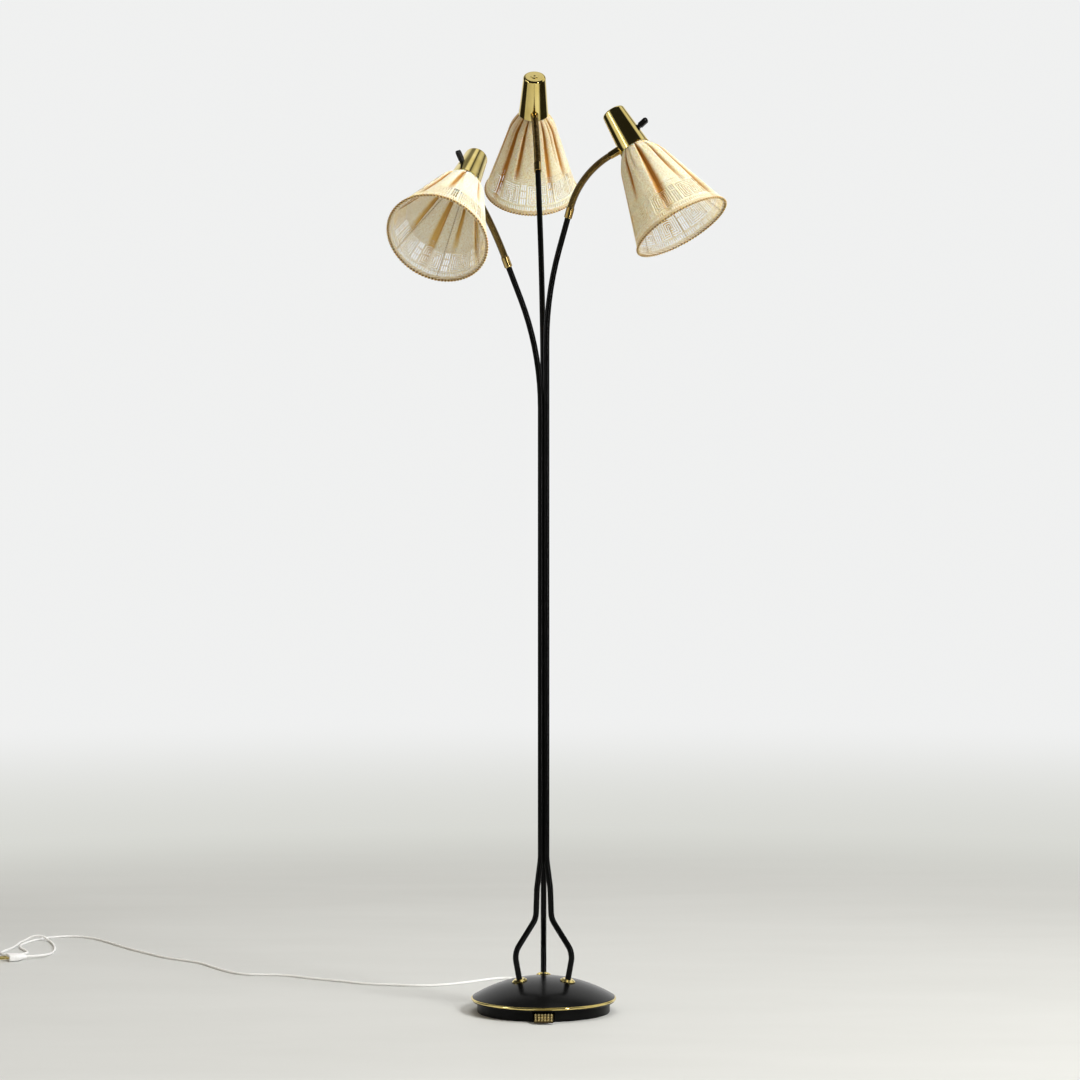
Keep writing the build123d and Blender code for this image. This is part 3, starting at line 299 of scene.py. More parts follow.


# Painted shade: the hoses' grooves and the gaps between the tread's studs get a near-black brass colour.
hose_brass = brass_with_painted_shade("hose_brass", (0.33, 0.22, 0.075, 1), (0.010, 0.006, 0.002, 1), groove_shade_share,
                            0.18, 0.28)
tread_brass = brass_with_painted_shade("tread_brass", (0.98, 0.80, 0.38, 1), (0.08, 0.05, 0.015, 1),
                             stud_gap_shade_share, 0.14, 0.24)
black_moulding = moulded("black_moulding", (0.007, 0.0065, 0.006, 1), (0.004, 0.004, 0.004, 1),
                         0.20, 1500.0, 0.00001)
white_plastic = moulded("white_plastic", (0.93, 0.93, 0.92, 1), (0.90, 0.90, 0.885, 1),
                        0.40, 1300.0, 0.00002, Subsurface_Weight=0.8, Subsurface_Scale=0.002,
                        Subsurface_Radius=(1.0, 1.0, 1.0))
zinc = lacquered_brass("zinc", (0.60, 0.61, 0.62, 1), (0.46, 0.47, 0.49, 1), 0.25, 0.42, 800.0, 0.00003)
drawn_aluminium = lacquered_brass("drawn_aluminium", (0.80, 0.80, 0.79, 1), (0.66, 0.66, 0.66, 1),
                                  0.22, 0.36, 900.0, 0.00003)
raw_iron = moulded("raw_iron", (0.075, 0.070, 0.065, 1), (0.035, 0.032, 0.030, 1), 0.75, 500.0, 0.0003)
grey_sheath = moulded("grey_sheath", (0.13, 0.13, 0.13, 1), (0.09, 0.09, 0.09, 1), 0.5, 900.0, 0.00002)
print("hard finishes ready")

# %% [markdown]
# ## Felt and wrapped wire
#
# Two fibrous finishes are left: the felt under the base, a dark mat of short fibres, and the wire of
# each shade's frame, which is wound with a narrow cream tape. The tape's turns are bands that follow
# the height, because most of the wire runs up and down.

# %% Felt and tape
felt_finish, felt_tree, felt_shader = new_finish("felt", Sheen_Weight=0.5, Roughness=0.95)
felt_place = object_point(felt_tree)
felt_fibre = noise(felt_tree, stretched(felt_tree, felt_place, (1.0, 0.25, 1.0)), 2600.0, 4.0, 0.7)
felt_colour = mixed_colour(felt_tree, felt_fibre, (0.02, 0.02, 0.02, 1), (0.07, 0.07, 0.07, 1))
felt_tree.links.new(felt_colour, felt_shader.inputs["Base Color"])
raise_surface(felt_tree, felt_shader, felt_fibre, 0.0004)

tape_finish, tape_tree, tape_shader = new_finish("frame_tape", Roughness=0.8)
tape_place = object_point(tape_tree)
tape_turns = add_node(tape_tree, "ShaderNodeTexWave", {"bands_direction": "Z"}, Vector=tape_place,
                      Scale=90.0, Distortion=1.5, Detail=1.0).outputs["Fac"]
tape_colour = mixed_colour(tape_tree, tape_turns, (0.50, 0.36, 0.20, 1), (0.86, 0.76, 0.58, 1))
tape_tree.links.new(tape_colour, tape_shader.inputs["Base Color"])
raise_surface(tape_tree, tape_shader, tape_turns, 0.0003)
print("felt and tape ready")

# %% [markdown]
# ## Dress the hard parts
#
# The mechanical model's meshes are exact and already point the right way, so each one only gets a
# finish in its material slot. A table from the start of a part's name to its finish does it.

# %% Finishes of the carried-over parts
FINISH_OF = {
    "base_dome": dome_enamel, "base_pan": satin_enamel, "rim_ring": polished_brass,
    "rosette": polished_brass, "stem_tube": tube_enamel, "ferrule": aged_brass,
    "neck_sleeve": aged_brass, "neck_nut": polished_brass, "cap": polished_brass,
    "lamp_holder": drawn_aluminium, "toggle": black_moulding, "shade_frame": tape_finish,
    "pedal_tread": tread_brass, "pedal_lever": zinc, "pedal_pin": zinc, "pan_screws": zinc,
    "tube_washers": zinc, "tube_nuts": zinc, "switch_spring": zinc, "switch_housing": black_moulding,
    "switch_plunger": black_moulding, "terminal_block": black_moulding, "base_weight": raw_iron,
    "base_felt": felt_finish, "stem_leads": grey_sheath, "supply_lead": white_plastic,
    "plug_pins": polished_brass,
}


def finish_for(node_name):
    """The finish whose key is the longest start of the node's name."""
    keys = [key for key in FINISH_OF if node_name.startswith(key)]
    return FINISH_OF[max(keys, key=len)] if keys else None


for node_name, node in nodes.items():
    finish = finish_for(node_name)
    if finish is not None:
        for material_slot in node.material_slots:
            material_slot.material = finish
print("dressed", sum(finish_for(name) is not None for name in nodes), "parts")

# %% [markdown]
# ## Surfaces from whole arrays
#
# Each new piece is a grid of points: rows run along it and columns run round it. One function turns
# such a grid into a mesh. It joins the last column to the first, leaves out the faces that a mask
# takes away, and writes a UV map, so that weave and thread can follow the surface.


# %% Grid mesh helper
def surface_piece(name, points, finishes, keep=None, values=None, uv_size=(1.0, 1.0)):
    """A closed-round grid of points, rows by columns by 3, as a mesh object.

    The face at row i and column j joins points (i, j), (i, j+1), (i+1, j+1) and (i+1, j), so it
    looks outwards when the columns go anticlockwise about the way in which the rows advance.
    """
    rows, columns = points.shape[:2]
    corner = np.arange(rows * columns).reshape(rows, columns)
    beside = np.roll(corner, -1, axis=1)
    quads = np.stack([corner[:-1], beside[:-1], beside[1:], corner[1:]], axis=-1)
    across = np.arange(columns) / columns
    along = np.arange(rows) / (rows - 1)
    first_corner = np.stack(np.meshgrid(across, along[:-1]), axis=-1)[:, :, None]
    steps = np.array([(0, 0), (1, 0), (1, 1), (0, 1)]) / (columns, rows - 1)
    uv = (first_corner + steps) * np.array(uv_size)
    chosen = np.ones((rows - 1, columns), bool) if keep is None else keep
    mesh = bpy.data.meshes.new(name)
    mesh.from_pydata(points.reshape(-1, 3).tolist(), [], quads[chosen].tolist())
    layer = mesh.uv_layers.new(name="surface")
    layer.data.foreach_set("uv", uv[chosen].astype(np.float32).ravel())
    for attribute_name, attribute_values in (values or {}).items():
        attribute = mesh.attributes.new(attribute_name, "FLOAT", "POINT")
        attribute.data.foreach_set("value", attribute_values.astype(np.float32).ravel())
    mesh.polygons.foreach_set("use_smooth", np.ones(len(mesh.polygons), bool))
    for finish in finishes:
        mesh.materials.append(finish)
    return placed(name, mesh)


def unit(vector):
    """A vector of length one."""
    vector = np.asarray(vector, float)
    return vector / np.linalg.norm(vector)


def profile_on_axis(base, way, along, radii, sides):
    """Points round a straight axis: at each distance along it, a circle of the matching radius."""
    way = unit(way)
    helper = np.array([0.0, 0.0, 1.0]) if abs(way[2]) < 0.9 else np.array([1.0, 0.0, 0.0])
    first = unit(np.cross(helper, way))
    second = np.cross(way, first)
    angle = np.arange(sides) * 2 * np.pi / sides
    ring = np.cos(angle)[:, None] * first + np.sin(angle)[:, None] * second
    along = np.asarray(along, float)
    radii = np.asarray(radii, float)
    return np.asarray(base) + along[:, None, None] * way + radii[:, None, None] * ring[None]


# %% [markdown]
# ## The supply cord
#
# The cord is one length of round white flex. It leaves the back of the base through a tapered
# sleeve, sinks to the floor, wanders away to the left, makes one loop over itself and ends in a flat
# two-pin plug. A NURBS spline through the route's points gives the smooth, slightly stiff line of a
# real flex, and the curve's bevel gives it thickness. Its points are those of the solid cord.

# %% Cord
CORD_RADIUS = 2.25 * MM
CORD_LIE = 2.3          # heights of the cord's middle in mm: on the floor, over itself, at the base
CORD_OVER = 9.9
EXIT_HEIGHT = 10.0
GLAND_END = 138.0       # in mm behind the lamp's axis
PLUG_END = np.array([-997.0, 596.0, 6.85])
PLUG_WAY = unit([-19.0, -8.0, 0.0])


def lying(*places):
    """Points of the cord's middle where it lies on the floor."""
    return [(x, y, CORD_LIE) for x, y in places]


CORD_ROUTE = np.array([
    (0, GLAND_END, EXIT_HEIGHT), (0, 158, EXIT_HEIGHT), (-2, 186, 4.2),
    *lying((-6, 220), (-13, 264), (-24, 312), (-46, 352), (-76, 358), (-104, 338), (-136, 306),
           (-178, 274), (-226, 263), (-276, 276), (-326, 288), (-376, 324), (-430, 354),
           (-478, 392), (-516, 396), (-556, 398), (-590, 434), (-624, 490), (-654, 546),
           (-690, 578), (-728, 610), (-766, 660), (-806, 716), (-844, 776), (-880, 836),
           (-914, 886), (-950, 908), (-981, 905), (-1003, 890), (-1018, 868), (-1030, 842),
           (-1038, 814), (-1041, 784), (-1038, 755), (-1030, 731), (-1020, 710), (-1011, 690),
           (-1009, 669), (-1019, 652), (-1038, 646), (-1055, 656), (-1061, 676), (-1059, 702),
           (-1053, 730), (-1049, 760), (-1049, 794), (-1050, 825), (-1045, 848)),
    (-1030.5, 861, CORD_OVER), (-1010.5, 860, CORD_OVER),
    *lying((-996, 844), (-986, 818), (-976, 784), (-968, 748), (-962, 712), (-960, 676)),
    (-964, 643, 3.5),
    PLUG_END - PLUG_WAY * 22, PLUG_END]) * MM

cord_curve = bpy.data.curves.new("supply_cord", "CURVE")
cord_curve.dimensions = "3D"
cord_curve.bevel_depth = CORD_RADIUS
cord_curve.bevel_resolution = 4
cord_curve.resolution_u = 8
cord_curve.use_fill_caps = True
cord_spline = cord_curve.splines.new("NURBS")
cord_spline.points.add(len(CORD_ROUTE) - 1)
cord_spline.points.foreach_set("co", np.column_stack([CORD_ROUTE, np.ones(len(CORD_ROUTE))]).ravel())
cord_spline.order_u = 3
cord_spline.use_endpoint_u = True
cord_curve.materials.append(white_plastic)
supply_cord = placed("supply_cord", cord_curve)
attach(supply_cord, "stand")
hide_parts("mains_cord")
print("cord runs between", len(CORD_ROUTE), "points; spline length",
      round(cord_spline.calc_length(), 3), "m")

# %% [markdown]
# ## Plug and strain relief
#
# The plug is one moulding: a soft tail round the flex that swells into a flat hand grip and ends in
# a flat face with rounded corners. Every cross-section is a superellipse, a shape between an ellipse
# and a rectangle, so one formula makes the round tail and the boxy face. Ridges across its sides
# give the fingers a grip. The strain relief at the base is a cone with a collar, cut by rings, which
# lets it bend with the cord.

# %% Plug
PLUG_LENGTH = 36 * MM
PLUG_STATIONS = np.array([0.00, 0.03, 0.12, 0.22, 0.34, 0.48, 0.62, 0.78, 0.93, 0.985, 1.0])
PLUG_HALF_WIDTHS = np.array([3.6, 4.0, 4.6, 6.6, 11.0, 15.6, 17.2, 17.5, 17.5, 17.1, 16.4]) * MM
PLUG_HALF_HEIGHTS = np.array([3.4, 3.9, 4.3, 5.0, 5.9, 6.5, 6.75, 6.8, 6.8, 6.5, 5.9]) * MM
PLUG_SQUARENESS = np.array([2.0, 2.0, 2.1, 2.4, 2.8, 3.2, 3.6, 4.0, 4.2, 4.2, 4.2])
PLUG_SIDES = 64
GRIP_RIDGES = 5
GRIP_DEPTH = 0.45 * MM
GRIP_START, GRIP_END, GRIP_FADE = 0.40, 0.80, 0.04      # shares of the plug's length
NEARLY_CLOSED = 0.01                                    # size of the ring that closes an end


def superellipse_ring(half_width, half_height, power, angle):
    """Points of |x/a|^p + |y/b|^p = 1, found from the angle by signed powers of its cosine and sine."""
    cosine, sine = np.cos(angle), np.sin(angle)
    return (half_width * np.sign(cosine) * np.abs(cosine) ** (2 / power),
            half_height * np.sign(sine) * np.abs(sine) ** (2 / power))


share = np.linspace(0, 1, 97)[:, None]
smooth = [np.interp(share, PLUG_STATIONS, table) for table in
          (PLUG_HALF_WIDTHS, PLUG_HALF_HEIGHTS, PLUG_SQUARENESS)]
turn = (np.arange(PLUG_SIDES) * 2 * np.pi / PLUG_SIDES)[None, :]
grip = (np.clip((share - GRIP_START) / GRIP_FADE, 0, 1)
        * np.clip((GRIP_END - share) / GRIP_FADE, 0, 1))
ridge_phase = (share - GRIP_START) / (GRIP_END - GRIP_START) * GRIP_RIDGES * 2 * np.pi
ridge = grip * GRIP_DEPTH * (0.5 + 0.5 * np.cos(ridge_phase))
sideways, upwards = superellipse_ring(smooth[0] - ridge, smooth[1], smooth[2], turn)
plug_side = unit(np.cross([0, 0, 1], PLUG_WAY))
plug_points = (PLUG_END * MM + share[..., None] * PLUG_LENGTH * PLUG_WAY
               + sideways[..., None] * plug_side + upwards[..., None] * np.array([0, 0, 1.0]))
plug_face = plug_points[-1].mean(axis=0)
plug_tail = plug_points[0].mean(axis=0)
closing = [plug_tail + (plug_points[0] - plug_tail) * NEARLY_CLOSED, *plug_points,
           plug_face + (plug_points[-1] - plug_face) * 0.5,
           plug_face + (plug_points[-1] - plug_face) * NEARLY_CLOSED]
plug = surface_piece("plug_moulding", np.array(closing), [white_plastic])
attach(plug, "stand")
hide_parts("plug_body")
print("plug has", len(plug.data.polygons), "faces")

# %% Strain relief
RELIEF_LENGTH = 24.0
RELIEF_FOOT_RADIUS = 4.6
RELIEF_END_RADIUS = 3.2
RELIEF_RINGS = 7
RELIEF_RING_DEPTH = 0.7
RELIEF_COLLAR = 1.4             # thickness of the collar against the base
RELIEF_COLLAR_RADIUS = RELIEF_FOOT_RADIUS + 0.8
RELIEF_TIP = RELIEF_LENGTH + 1.5
BAND_RADIUS = 114.0             # of the base's foot band, where the collar sits
relief_along = np.linspace(0, RELIEF_LENGTH, 113)
relief_cone = np.interp(relief_along, (0, RELIEF_LENGTH), (RELIEF_FOOT_RADIUS, RELIEF_END_RADIUS))
relief_wave = 0.5 - 0.5 * np.cos(relief_along / RELIEF_LENGTH * RELIEF_RINGS * 2 * np.pi)
relief_radii = relief_cone - RELIEF_RING_DEPTH * relief_wave ** 4
relief_radii = np.concatenate([[2.3, RELIEF_COLLAR_RADIUS, RELIEF_COLLAR_RADIUS], relief_radii,
                               [RELIEF_END_RADIUS - 0.3, 2.2]])
relief_along = np.concatenate([[-0.2, -0.2, RELIEF_COLLAR], relief_along + RELIEF_COLLAR,
                               [RELIEF_TIP, RELIEF_TIP]])
relief_along = relief_along * (RELIEF_LENGTH / RELIEF_TIP)
relief_points = profile_on_axis((0, BAND_RADIUS * MM, EXIT_HEIGHT * MM), (0, 1, 0), relief_along * MM,
                                relief_radii * MM, 40)
relief = surface_piece("cord_relief", relief_points, [white_plastic])
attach(relief, "stand")
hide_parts("cord_gland")
print("strain relief is", RELIEF_LENGTH, "mm long")

# %% [markdown]
# ## Where the heads are
#
# Everything about a head follows from its joints. The gooseneck is an arc: one joint sits a quarter
# of the way along it and the next at three quarters, and the first joint's axis is square to the
# arc's plane. The toggle's joint then gives the cap's place and the way its mouth looks.

# %% Head geometry from the joints
NECK_LENGTH = 112.64 * MM
TOGGLE_OUT = 13 * MM        # from the cap's axis to the toggle's joint
TOGGLE_UP = 27 * MM         # from the cap's mouth to it
joint_of = {joint["name"]: joint for joint in frame["joints"]}


def head_geometry(name):
    """The arc of one gooseneck, and the mouth of its cap with the three ways square to each other."""
    nod = joint_of[f"neck_nod_{name}"]
    swing = joint_of[f"neck_swing_{name}"]
    toggle = joint_of[f"toggle_{name}"]
    quarter, three_quarters = np.array(nod["pos_m"]), np.array(swing["pos_m"])
    hinge = unit(nod["axis"])
    way = unit(np.cross(hinge, swing["axis"]))
    chord = unit(three_quarters - quarter)
    bend = 4 * np.arccos(np.clip(way @ chord, -1, 1))
    inward = np.cross(hinge, way)
    radius = NECK_LENGTH / bend
    centre = three_quarters + inward * radius

    def neck_frame(along):
        """Centre, outward and forward direction of the neck at distances along it."""
        angle = (np.asarray(along)[..., None] / NECK_LENGTH - 0.75) * bend
        out = -inward * np.cos(angle) + way * np.sin(angle)
        forward = inward * np.sin(angle) + way * np.cos(angle)
        return centre + radius * out, out, forward

    into_cap = neck_frame(np.array(NECK_LENGTH))[2]
    across = unit(toggle["axis"])
    opening = np.cross(into_cap, across)
    mouth = np.array(toggle["pos_m"]) - into_cap * TOGGLE_OUT + opening * TOGGLE_UP
    return {"neck": neck_frame, "hinge": hinge, "mouth": mouth, "opening": opening,
            "into": into_cap, "side": np.cross(opening, into_cap)}


heads = {name: head_geometry(name) for name in HEADS}
for name, head in heads.items():
    print(name, "mouth", head["mouth"].round(3), "opening", head["opening"].round(2))

# %% [markdown]
# ## Goosenecks
#
# A gooseneck is a spiral of round wire with a second wire wound into its groove. What shows is a
# fine screw thread. So the surface is a tube along the arc whose radius follows a rounded wave, and
# the wave's phase grows along the neck and round it, which makes the ridges climb. Each neck is two
# pieces that meet in the middle, one for each place where the real neck bends; here both stay where
# they are built and are not tied to the joints' bodies.

# %% Hoses
RIDGE_PITCH = 2.56 * MM
RIDGE_RADIUS = 6.1 * MM
RIDGE_DEPTH = 1.0 * MM
HOSE_SIDES = 36
SAMPLES_PER_RIDGE = 9
RIDGES_PER_HALF = 22


def hose_surface(head, start, end):
    """A tube whose radius is the ridge radius less a groove, which follows 1 - |cos| of the phase."""
    count = RIDGES_PER_HALF * SAMPLES_PER_RIDGE + 1
    along = np.linspace(start, end, count)
    centre, out = head["neck"](along)[:2]
    side = head["hinge"]
    angle = np.arange(HOSE_SIDES) * 2 * np.pi / HOSE_SIDES
    phase = np.pi * along[:, None] / RIDGE_PITCH - angle[None, :] / 2
    groove = (1 - np.abs(np.cos(phase))) ** 1.3
    radius = RIDGE_RADIUS - RIDGE_DEPTH * groove
    ring = np.cos(angle)[None, :, None] * out[:, None, :] - np.sin(angle)[None, :, None] * side
    return centre[:, None, :] + radius[..., None] * ring, groove


for name, head in heads.items():
    middle = NECK_LENGTH / 2
    for half, start, end, bodies in (("lower", 0.0, middle, ("stand", f"mid_{name}")),
                                     ("upper", middle, NECK_LENGTH, (f"mid_{name}", f"head_{name}"))):
        hose_points, groove = hose_surface(head, start, end)
        hose = surface_piece(f"hose_{half}_{name}", hose_points, [hose_brass],
                             values={"groove": groove})
        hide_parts(f"neck_{half}_{name}")
        first, last = head["neck"](np.array([start, end]))[0]
        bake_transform(hose)
print("six hose halves, thread pitch", RIDGE_PITCH / MM, "mm")

# %% [markdown]
# ## The cloth of the shades
#
# Each shade is a strip of natural woven cloth, gathered under the cap and stretched over a wire ring
# at the bottom. Its upper part is plain weave, its lower part is openwork: squares of meander, a
# traditional drawn-thread pattern, with bands of upright slits between them, then a short ladder and
# a dense hem. The openings are real holes: the grid's cells are as large as the threads, and a mask
# takes cells away.

# %% Openwork pattern
MOTIF = 21              # cells across one meander square
BAND = 7                # cells across one band of slits
PERIODS = 9             # squares round the shade
HEM_ROWS = 5
NET_ROWS = 6
THREAD_SHARE = 0.64     # of a thread and a gap together


def meander_square(size):
    """Nested squares, one cell of cloth and one of gap in turn, opened into one winding path.

    The ring number of a cell is its larger distance from the middle; odd rings are gaps. Below the
    middle each gap ring is bridged at one column, and each cloth ring is cut two columns beside it.
    """
    steps = np.arange(size) - size // 2
    across, up = np.meshgrid(steps, steps)
    ring = np.maximum(np.abs(across), np.abs(up))
    cloth = ring % 2 == 0
    below = (up == -ring) & (ring > 0)
    cloth |= below & (across == 0)
    cloth &= ~(below & (across == 1) & (ring < size // 2))
    return cloth


def slit_band(width, height):
    """Upright slits: every second column is open, tied by a crossing thread every seventh row."""
    row, column = np.indices((height, width))
    return (column % 2 == 0) | (row % 7 == 6)


def cell_edges(count, start, end):
    """Edges of a row of cells that are wide and narrow in turn, from start to end."""
    widths = np.where(np.arange(count) % 2 == 0, THREAD_SHARE, 1 - THREAD_SHARE)
    return start + (end - start) * np.concatenate([[0], np.cumsum(widths)]) / widths.sum()


square = meander_square(MOTIF)
band = slit_band(BAND, MOTIF)
turned_squares = [np.rot90(square, turns) for turns in range(4)]
columns_round = PERIODS * (MOTIF + BAND)
column_angles = cell_edges(columns_round, 0, 2 * np.pi)[:-1]
print("cells round a shade:", columns_round)

# %% [markdown]
# ## Folds
#
# Gathering pushes the cloth into folds that are deep and narrow under the cap and fade towards the
# ring. A fold is a groove: an amount taken off the radius, shaped like a bell across the fold. Its
# depth rises quickly below the cap and dies out at its own length. One side of each groove leans
# over it a little, as a pressed pleat does. Folds differ in place, width, depth and length.

# %% Folded surface
SHADE_LENGTH = 164 * MM
RIM_RADIUS = 85.8 * MM
GATHER_RADIUS = 25.2 * MM
SWELL = 9 * MM
SWELL_DROP = 33 * MM
TUCK = 2 * MM
CLOTH_THICKNESS = 0.9 * MM
SMALL_FOLDS = 15
# The painted shade in a fold is at its darkest at this depth.
FOLD_DEPTH_AT_FULL_SHADE = 9 * MM          # depth at which the colour of a fold is at its deepest
WIRE_TOP_RADIUS = 20 * MM   # the frame's ribs, which no fold goes through
WIRE_SPREAD = 62.3 * MM
WIRE_START = 3 * MM
WIRE_RUN = 159 * MM
# main folds of each shade: degrees from the side that faces the camera, width and depth in mm,
# how far down they reach as a share of the length, and how far they sway sideways in degrees
MAIN_FOLDS = {
    "right": ((-66, 9.0, 9.5, 0.98, 4), (-34, 5.0, 6.0, 0.70, -6), (-4, 7.5, 10.5, 0.96, 8),
              (38, 5.0, 6.5, 0.62, 5), (84, 8.0, 8.5, 0.92, -6), (128, 6.0, 7.5, 0.75, 6),
              (168, 7.5, 9.0, 0.95, -5), (214, 6.0, 7.0, 0.70, 6), (256, 8.0, 9.0, 0.94, -4)),
    "left": ((-74, 7.5, 9.0, 0.90, 5), (-30, 5.5, 6.5, 0.60, -5), (14, 6.0, 8.5, 0.72, 4),
             (46, 7.5, 9.5, 0.88, 5), (92, 7.0, 8.5, 0.95, -6), (134, 6.0, 8.0, 0.85, 5),
             (176, 8.0, 9.5, 0.96, 4), (216, 5.5, 7.5, 0.74, -5), (252, 7.0, 9.0, 0.92, 5)),
    "back": ((-58, 7.0, 8.0, 0.72, -5), (-27, 6.5, 7.5, 0.80, -3), (24, 5.5, 9.5, 0.66, 5),
             (50, 7.5, 10.0, 0.97, 7), (90, 8.0, 9.0, 0.90, 5), (138, 6.0, 7.5, 0.80, -5),
             (178, 7.5, 9.0, 0.94, 4), (222, 6.0, 8.0, 0.72, -6), (262, 8.0, 9.0, 0.95, 4)),
}


def crest_radius(drop):
    """Outer radius of the cloth below the cap: a cone from the gather to the rim, plus a swelling."""
    share = np.clip(drop, 0, None) / SHADE_LENGTH
    swell = SWELL * np.sin(np.pi / 2 * np.clip(drop / SWELL_DROP, 0, 1))
    return GATHER_RADIUS + swell + (RIM_RADIUS - GATHER_RADIUS - swell) * share


def camera_side(head):
    """The angle round the shade's axis, from the neck's own way, that faces the camera."""
    view = np.array(CAMERA_PLACE) - head["mouth"]
    return np.arctan2(view @ head["side"], view @ head["into"])


def one_fold(angle, drop, radius, middle, width, depth, reach, sway):
    """Depth of one groove: a bell across it, rising below the cap and dying out at its reach.

    The bell is steeper on one side, and the groove widens as it runs down.
    """
    share = np.clip(drop / SHADE_LENGTH, 0, 1)
    rise = np.clip((drop + TUCK) / (20 * MM), 0, 1)
    fade = np.clip(1 - share / reach, 0, 1) ** 0.55
    offset = (angle - middle - sway * share + np.pi) % (2 * np.pi) - np.pi
    spread_out = width * (0.42 + 0.9 * share)
    bell = offset * radius / spread_out
    steep = np.where(bell > 0, 1.5, 0.85)
    return depth * (0.2 + 0.8 * rise) * fade * np.exp(-np.abs(bell * steep) ** 2.2), bell


def folded_cloth(name, head, drop, angle, seed):
    """Radius, sideways turn and fold depth of the cloth on a grid of drops and angles."""
    chance = np.random.default_rng(seed)
    share = np.clip(drop / SHADE_LENGTH, 0, 1)
    radius = crest_radius(drop)
    front = camera_side(head)
    folds = [(front + np.radians(turn), width * MM, depth * MM, reach, np.radians(sway))
             for turn, width, depth, reach, sway in MAIN_FOLDS[name]]
    for fold in range(SMALL_FOLDS):
        middle = (fold + chance.uniform(0.15, 0.85)) * 2 * np.pi / SMALL_FOLDS
        folds.append((middle, chance.uniform(2.2, 3.4) * MM, chance.uniform(1.2, 3.2) * MM,
                      chance.uniform(0.2, 0.55), chance.uniform(-0.1, 0.1)))
    taken = np.zeros(radius.shape)
    lean = np.zeros(radius.shape)
    for middle, width, depth, reach, sway in folds:
        groove, bell = one_fold(angle, drop, radius, middle, width, depth, reach, sway)
        taken = np.maximum(taken, groove) + 0.2 * np.minimum(taken, groove)
        lean += 0.35 * depth / radius * np.exp(-(bell - 0.9) ** 2) * np.clip(1 - share / reach, 0, 1)
    wire = WIRE_TOP_RADIUS + WIRE_SPREAD * np.clip(drop - WIRE_START, 0, None) / WIRE_RUN
    room = 0.62 * (radius - wire)
    taken = np.minimum(taken, np.maximum(room, 1.5 * MM) + 4.5 * MM * (1 - share))
    ripple = 0.5 * MM * np.sin(7 * angle + 3 * share + seed) * share * (1 - share) * 2
    ripple = ripple + 0.3 * MM * np.sin(23 * angle + 9 * share + seed) * (1 - share)
    return radius - taken - 0.4 * MM + ripple, -lean, taken


def cloth_grid(head, drops, angle, radius, lean):
    """Points of the cloth from cylinder coordinates about the shade's axis."""
    turned = angle + lean
    ring = np.cos(turned)[..., None] * head["into"] + np.sin(turned)[..., None] * head["side"]
    return head["mouth"] + drops[..., None] * head["opening"] + radius[..., None] * ring


# %% [markdown]
# ## Cloth finishes
#
# Outside and inside, the fibre is pale cream with straw flecks. The inside's cream is a little whiter,
# as painted light that comes through the cloth. The colour is painted golden brown down in the folds,
# as painted shade, and the rows near the top carry painted shade too. The bound edge is darker, with
# painted shade between its stitches. All three finishes have the same weave: two sets of threads, one
# along and one across, as the larger of two waves, with a slubby noise that makes single threads
# thicker; where the threads dip, the colour turns towards straw as painted shade. The weave follows
# the UV map. Light spreads under the surface, and farther on the inside, which glows with what comes
# through.


# %% Woven finish
def woven_finish(name, pale, straw, deep, fleck_share, light_reach):
    """Plain weave on the UV map, in metres, coloured by flecks and by painted shade from the fold
    attribute.

    Light wanders through the cloth as far as its reach in metres, red farther than blue.
    """
    material, tree, shader = new_finish(name, Roughness=0.85, Specular_IOR_Level=0.15,
                                        Subsurface_Weight=1.0, Subsurface_Scale=light_reach,
                                        Subsurface_Radius=(1.0, 0.75, 0.45))
    place = add_node(tree, "ShaderNodeUVMap", {"uv_map": "surface"}).outputs["UV"]
    warp = add_node(tree, "ShaderNodeTexWave", {"bands_direction": "X"}, Vector=place, Scale=330.0,
                    Distortion=2.0, Detail=1.0, Detail_Scale=2.0).outputs["Fac"]
    weft = add_node(tree, "ShaderNodeTexWave", {"bands_direction": "Y"}, Vector=place, Scale=300.0,
                    Distortion=2.5, Detail=1.0, Detail_Scale=2.0).outputs["Fac"]
    weave = calculated(tree, "MAXIMUM", warp, weft)
    slub_across = noise(tree, stretched(tree, place, (1.0, 3.5, 1.0)), 230.0, 3.0, 0.65)
    slub_along = noise(tree, stretched(tree, place, (4.0, 1.0, 1.0)), 190.0, 3.0, 0.65)
    fleck = spread(tree, calculated(tree, "MULTIPLY", slub_across, slub_along), 0.20, 0.36)
    fleck = calculated(tree, "MULTIPLY", fleck, fleck_share)
    fibre = mixed_colour(tree, fleck, pale, straw)
    shadow = spread(tree, weave, 0.2, 0.9, 0.35, 0.0)
    fibre = mixed_colour(tree, shadow, fibre, straw)
    fold = add_node(tree, "ShaderNodeAttribute", {"attribute_name": "fold"}).outputs["Fac"]
    fold_shade_share = calculated(tree, "ADD", fold, calculated(tree, "MULTIPLY", slub_across, 0.12))
    colour = mixed_colour(tree, spread(tree, fold_shade_share, 0.10, 0.52, 0.0, 0.96), fibre, deep)
    tree.links.new(colour, shader.inputs["Base Color"])
    height = calculated(tree, "ADD", weave, calculated(tree, "MULTIPLY", slub_across, 0.8))
    raise_surface(tree, shader, height, 0.00025, 0.8)
    return material


# The third colour of each cloth finish is the painted shade down in the folds.
cloth_outside = woven_finish("cloth_outside", (0.98, 0.92, 0.74, 1), (0.68, 0.42, 0.12, 1),
                             (0.38, 0.17, 0.02, 1), 0.75, 0.004)
# Painted light: the inside's cream is whiter than the outside's, for light that comes through the cloth.
cloth_inside = woven_finish("cloth_inside", (0.98, 0.91, 0.81, 1), (0.66, 0.41, 0.14, 1),
                            (0.40, 0.18, 0.025, 1), 0.80, 0.014)
cloth_edge = woven_finish("cloth_edge", (0.84, 0.66, 0.36, 1), (0.52, 0.32, 0.11, 1),
                          (0.16, 0.07, 0.012, 1), 0.6, 0.003)
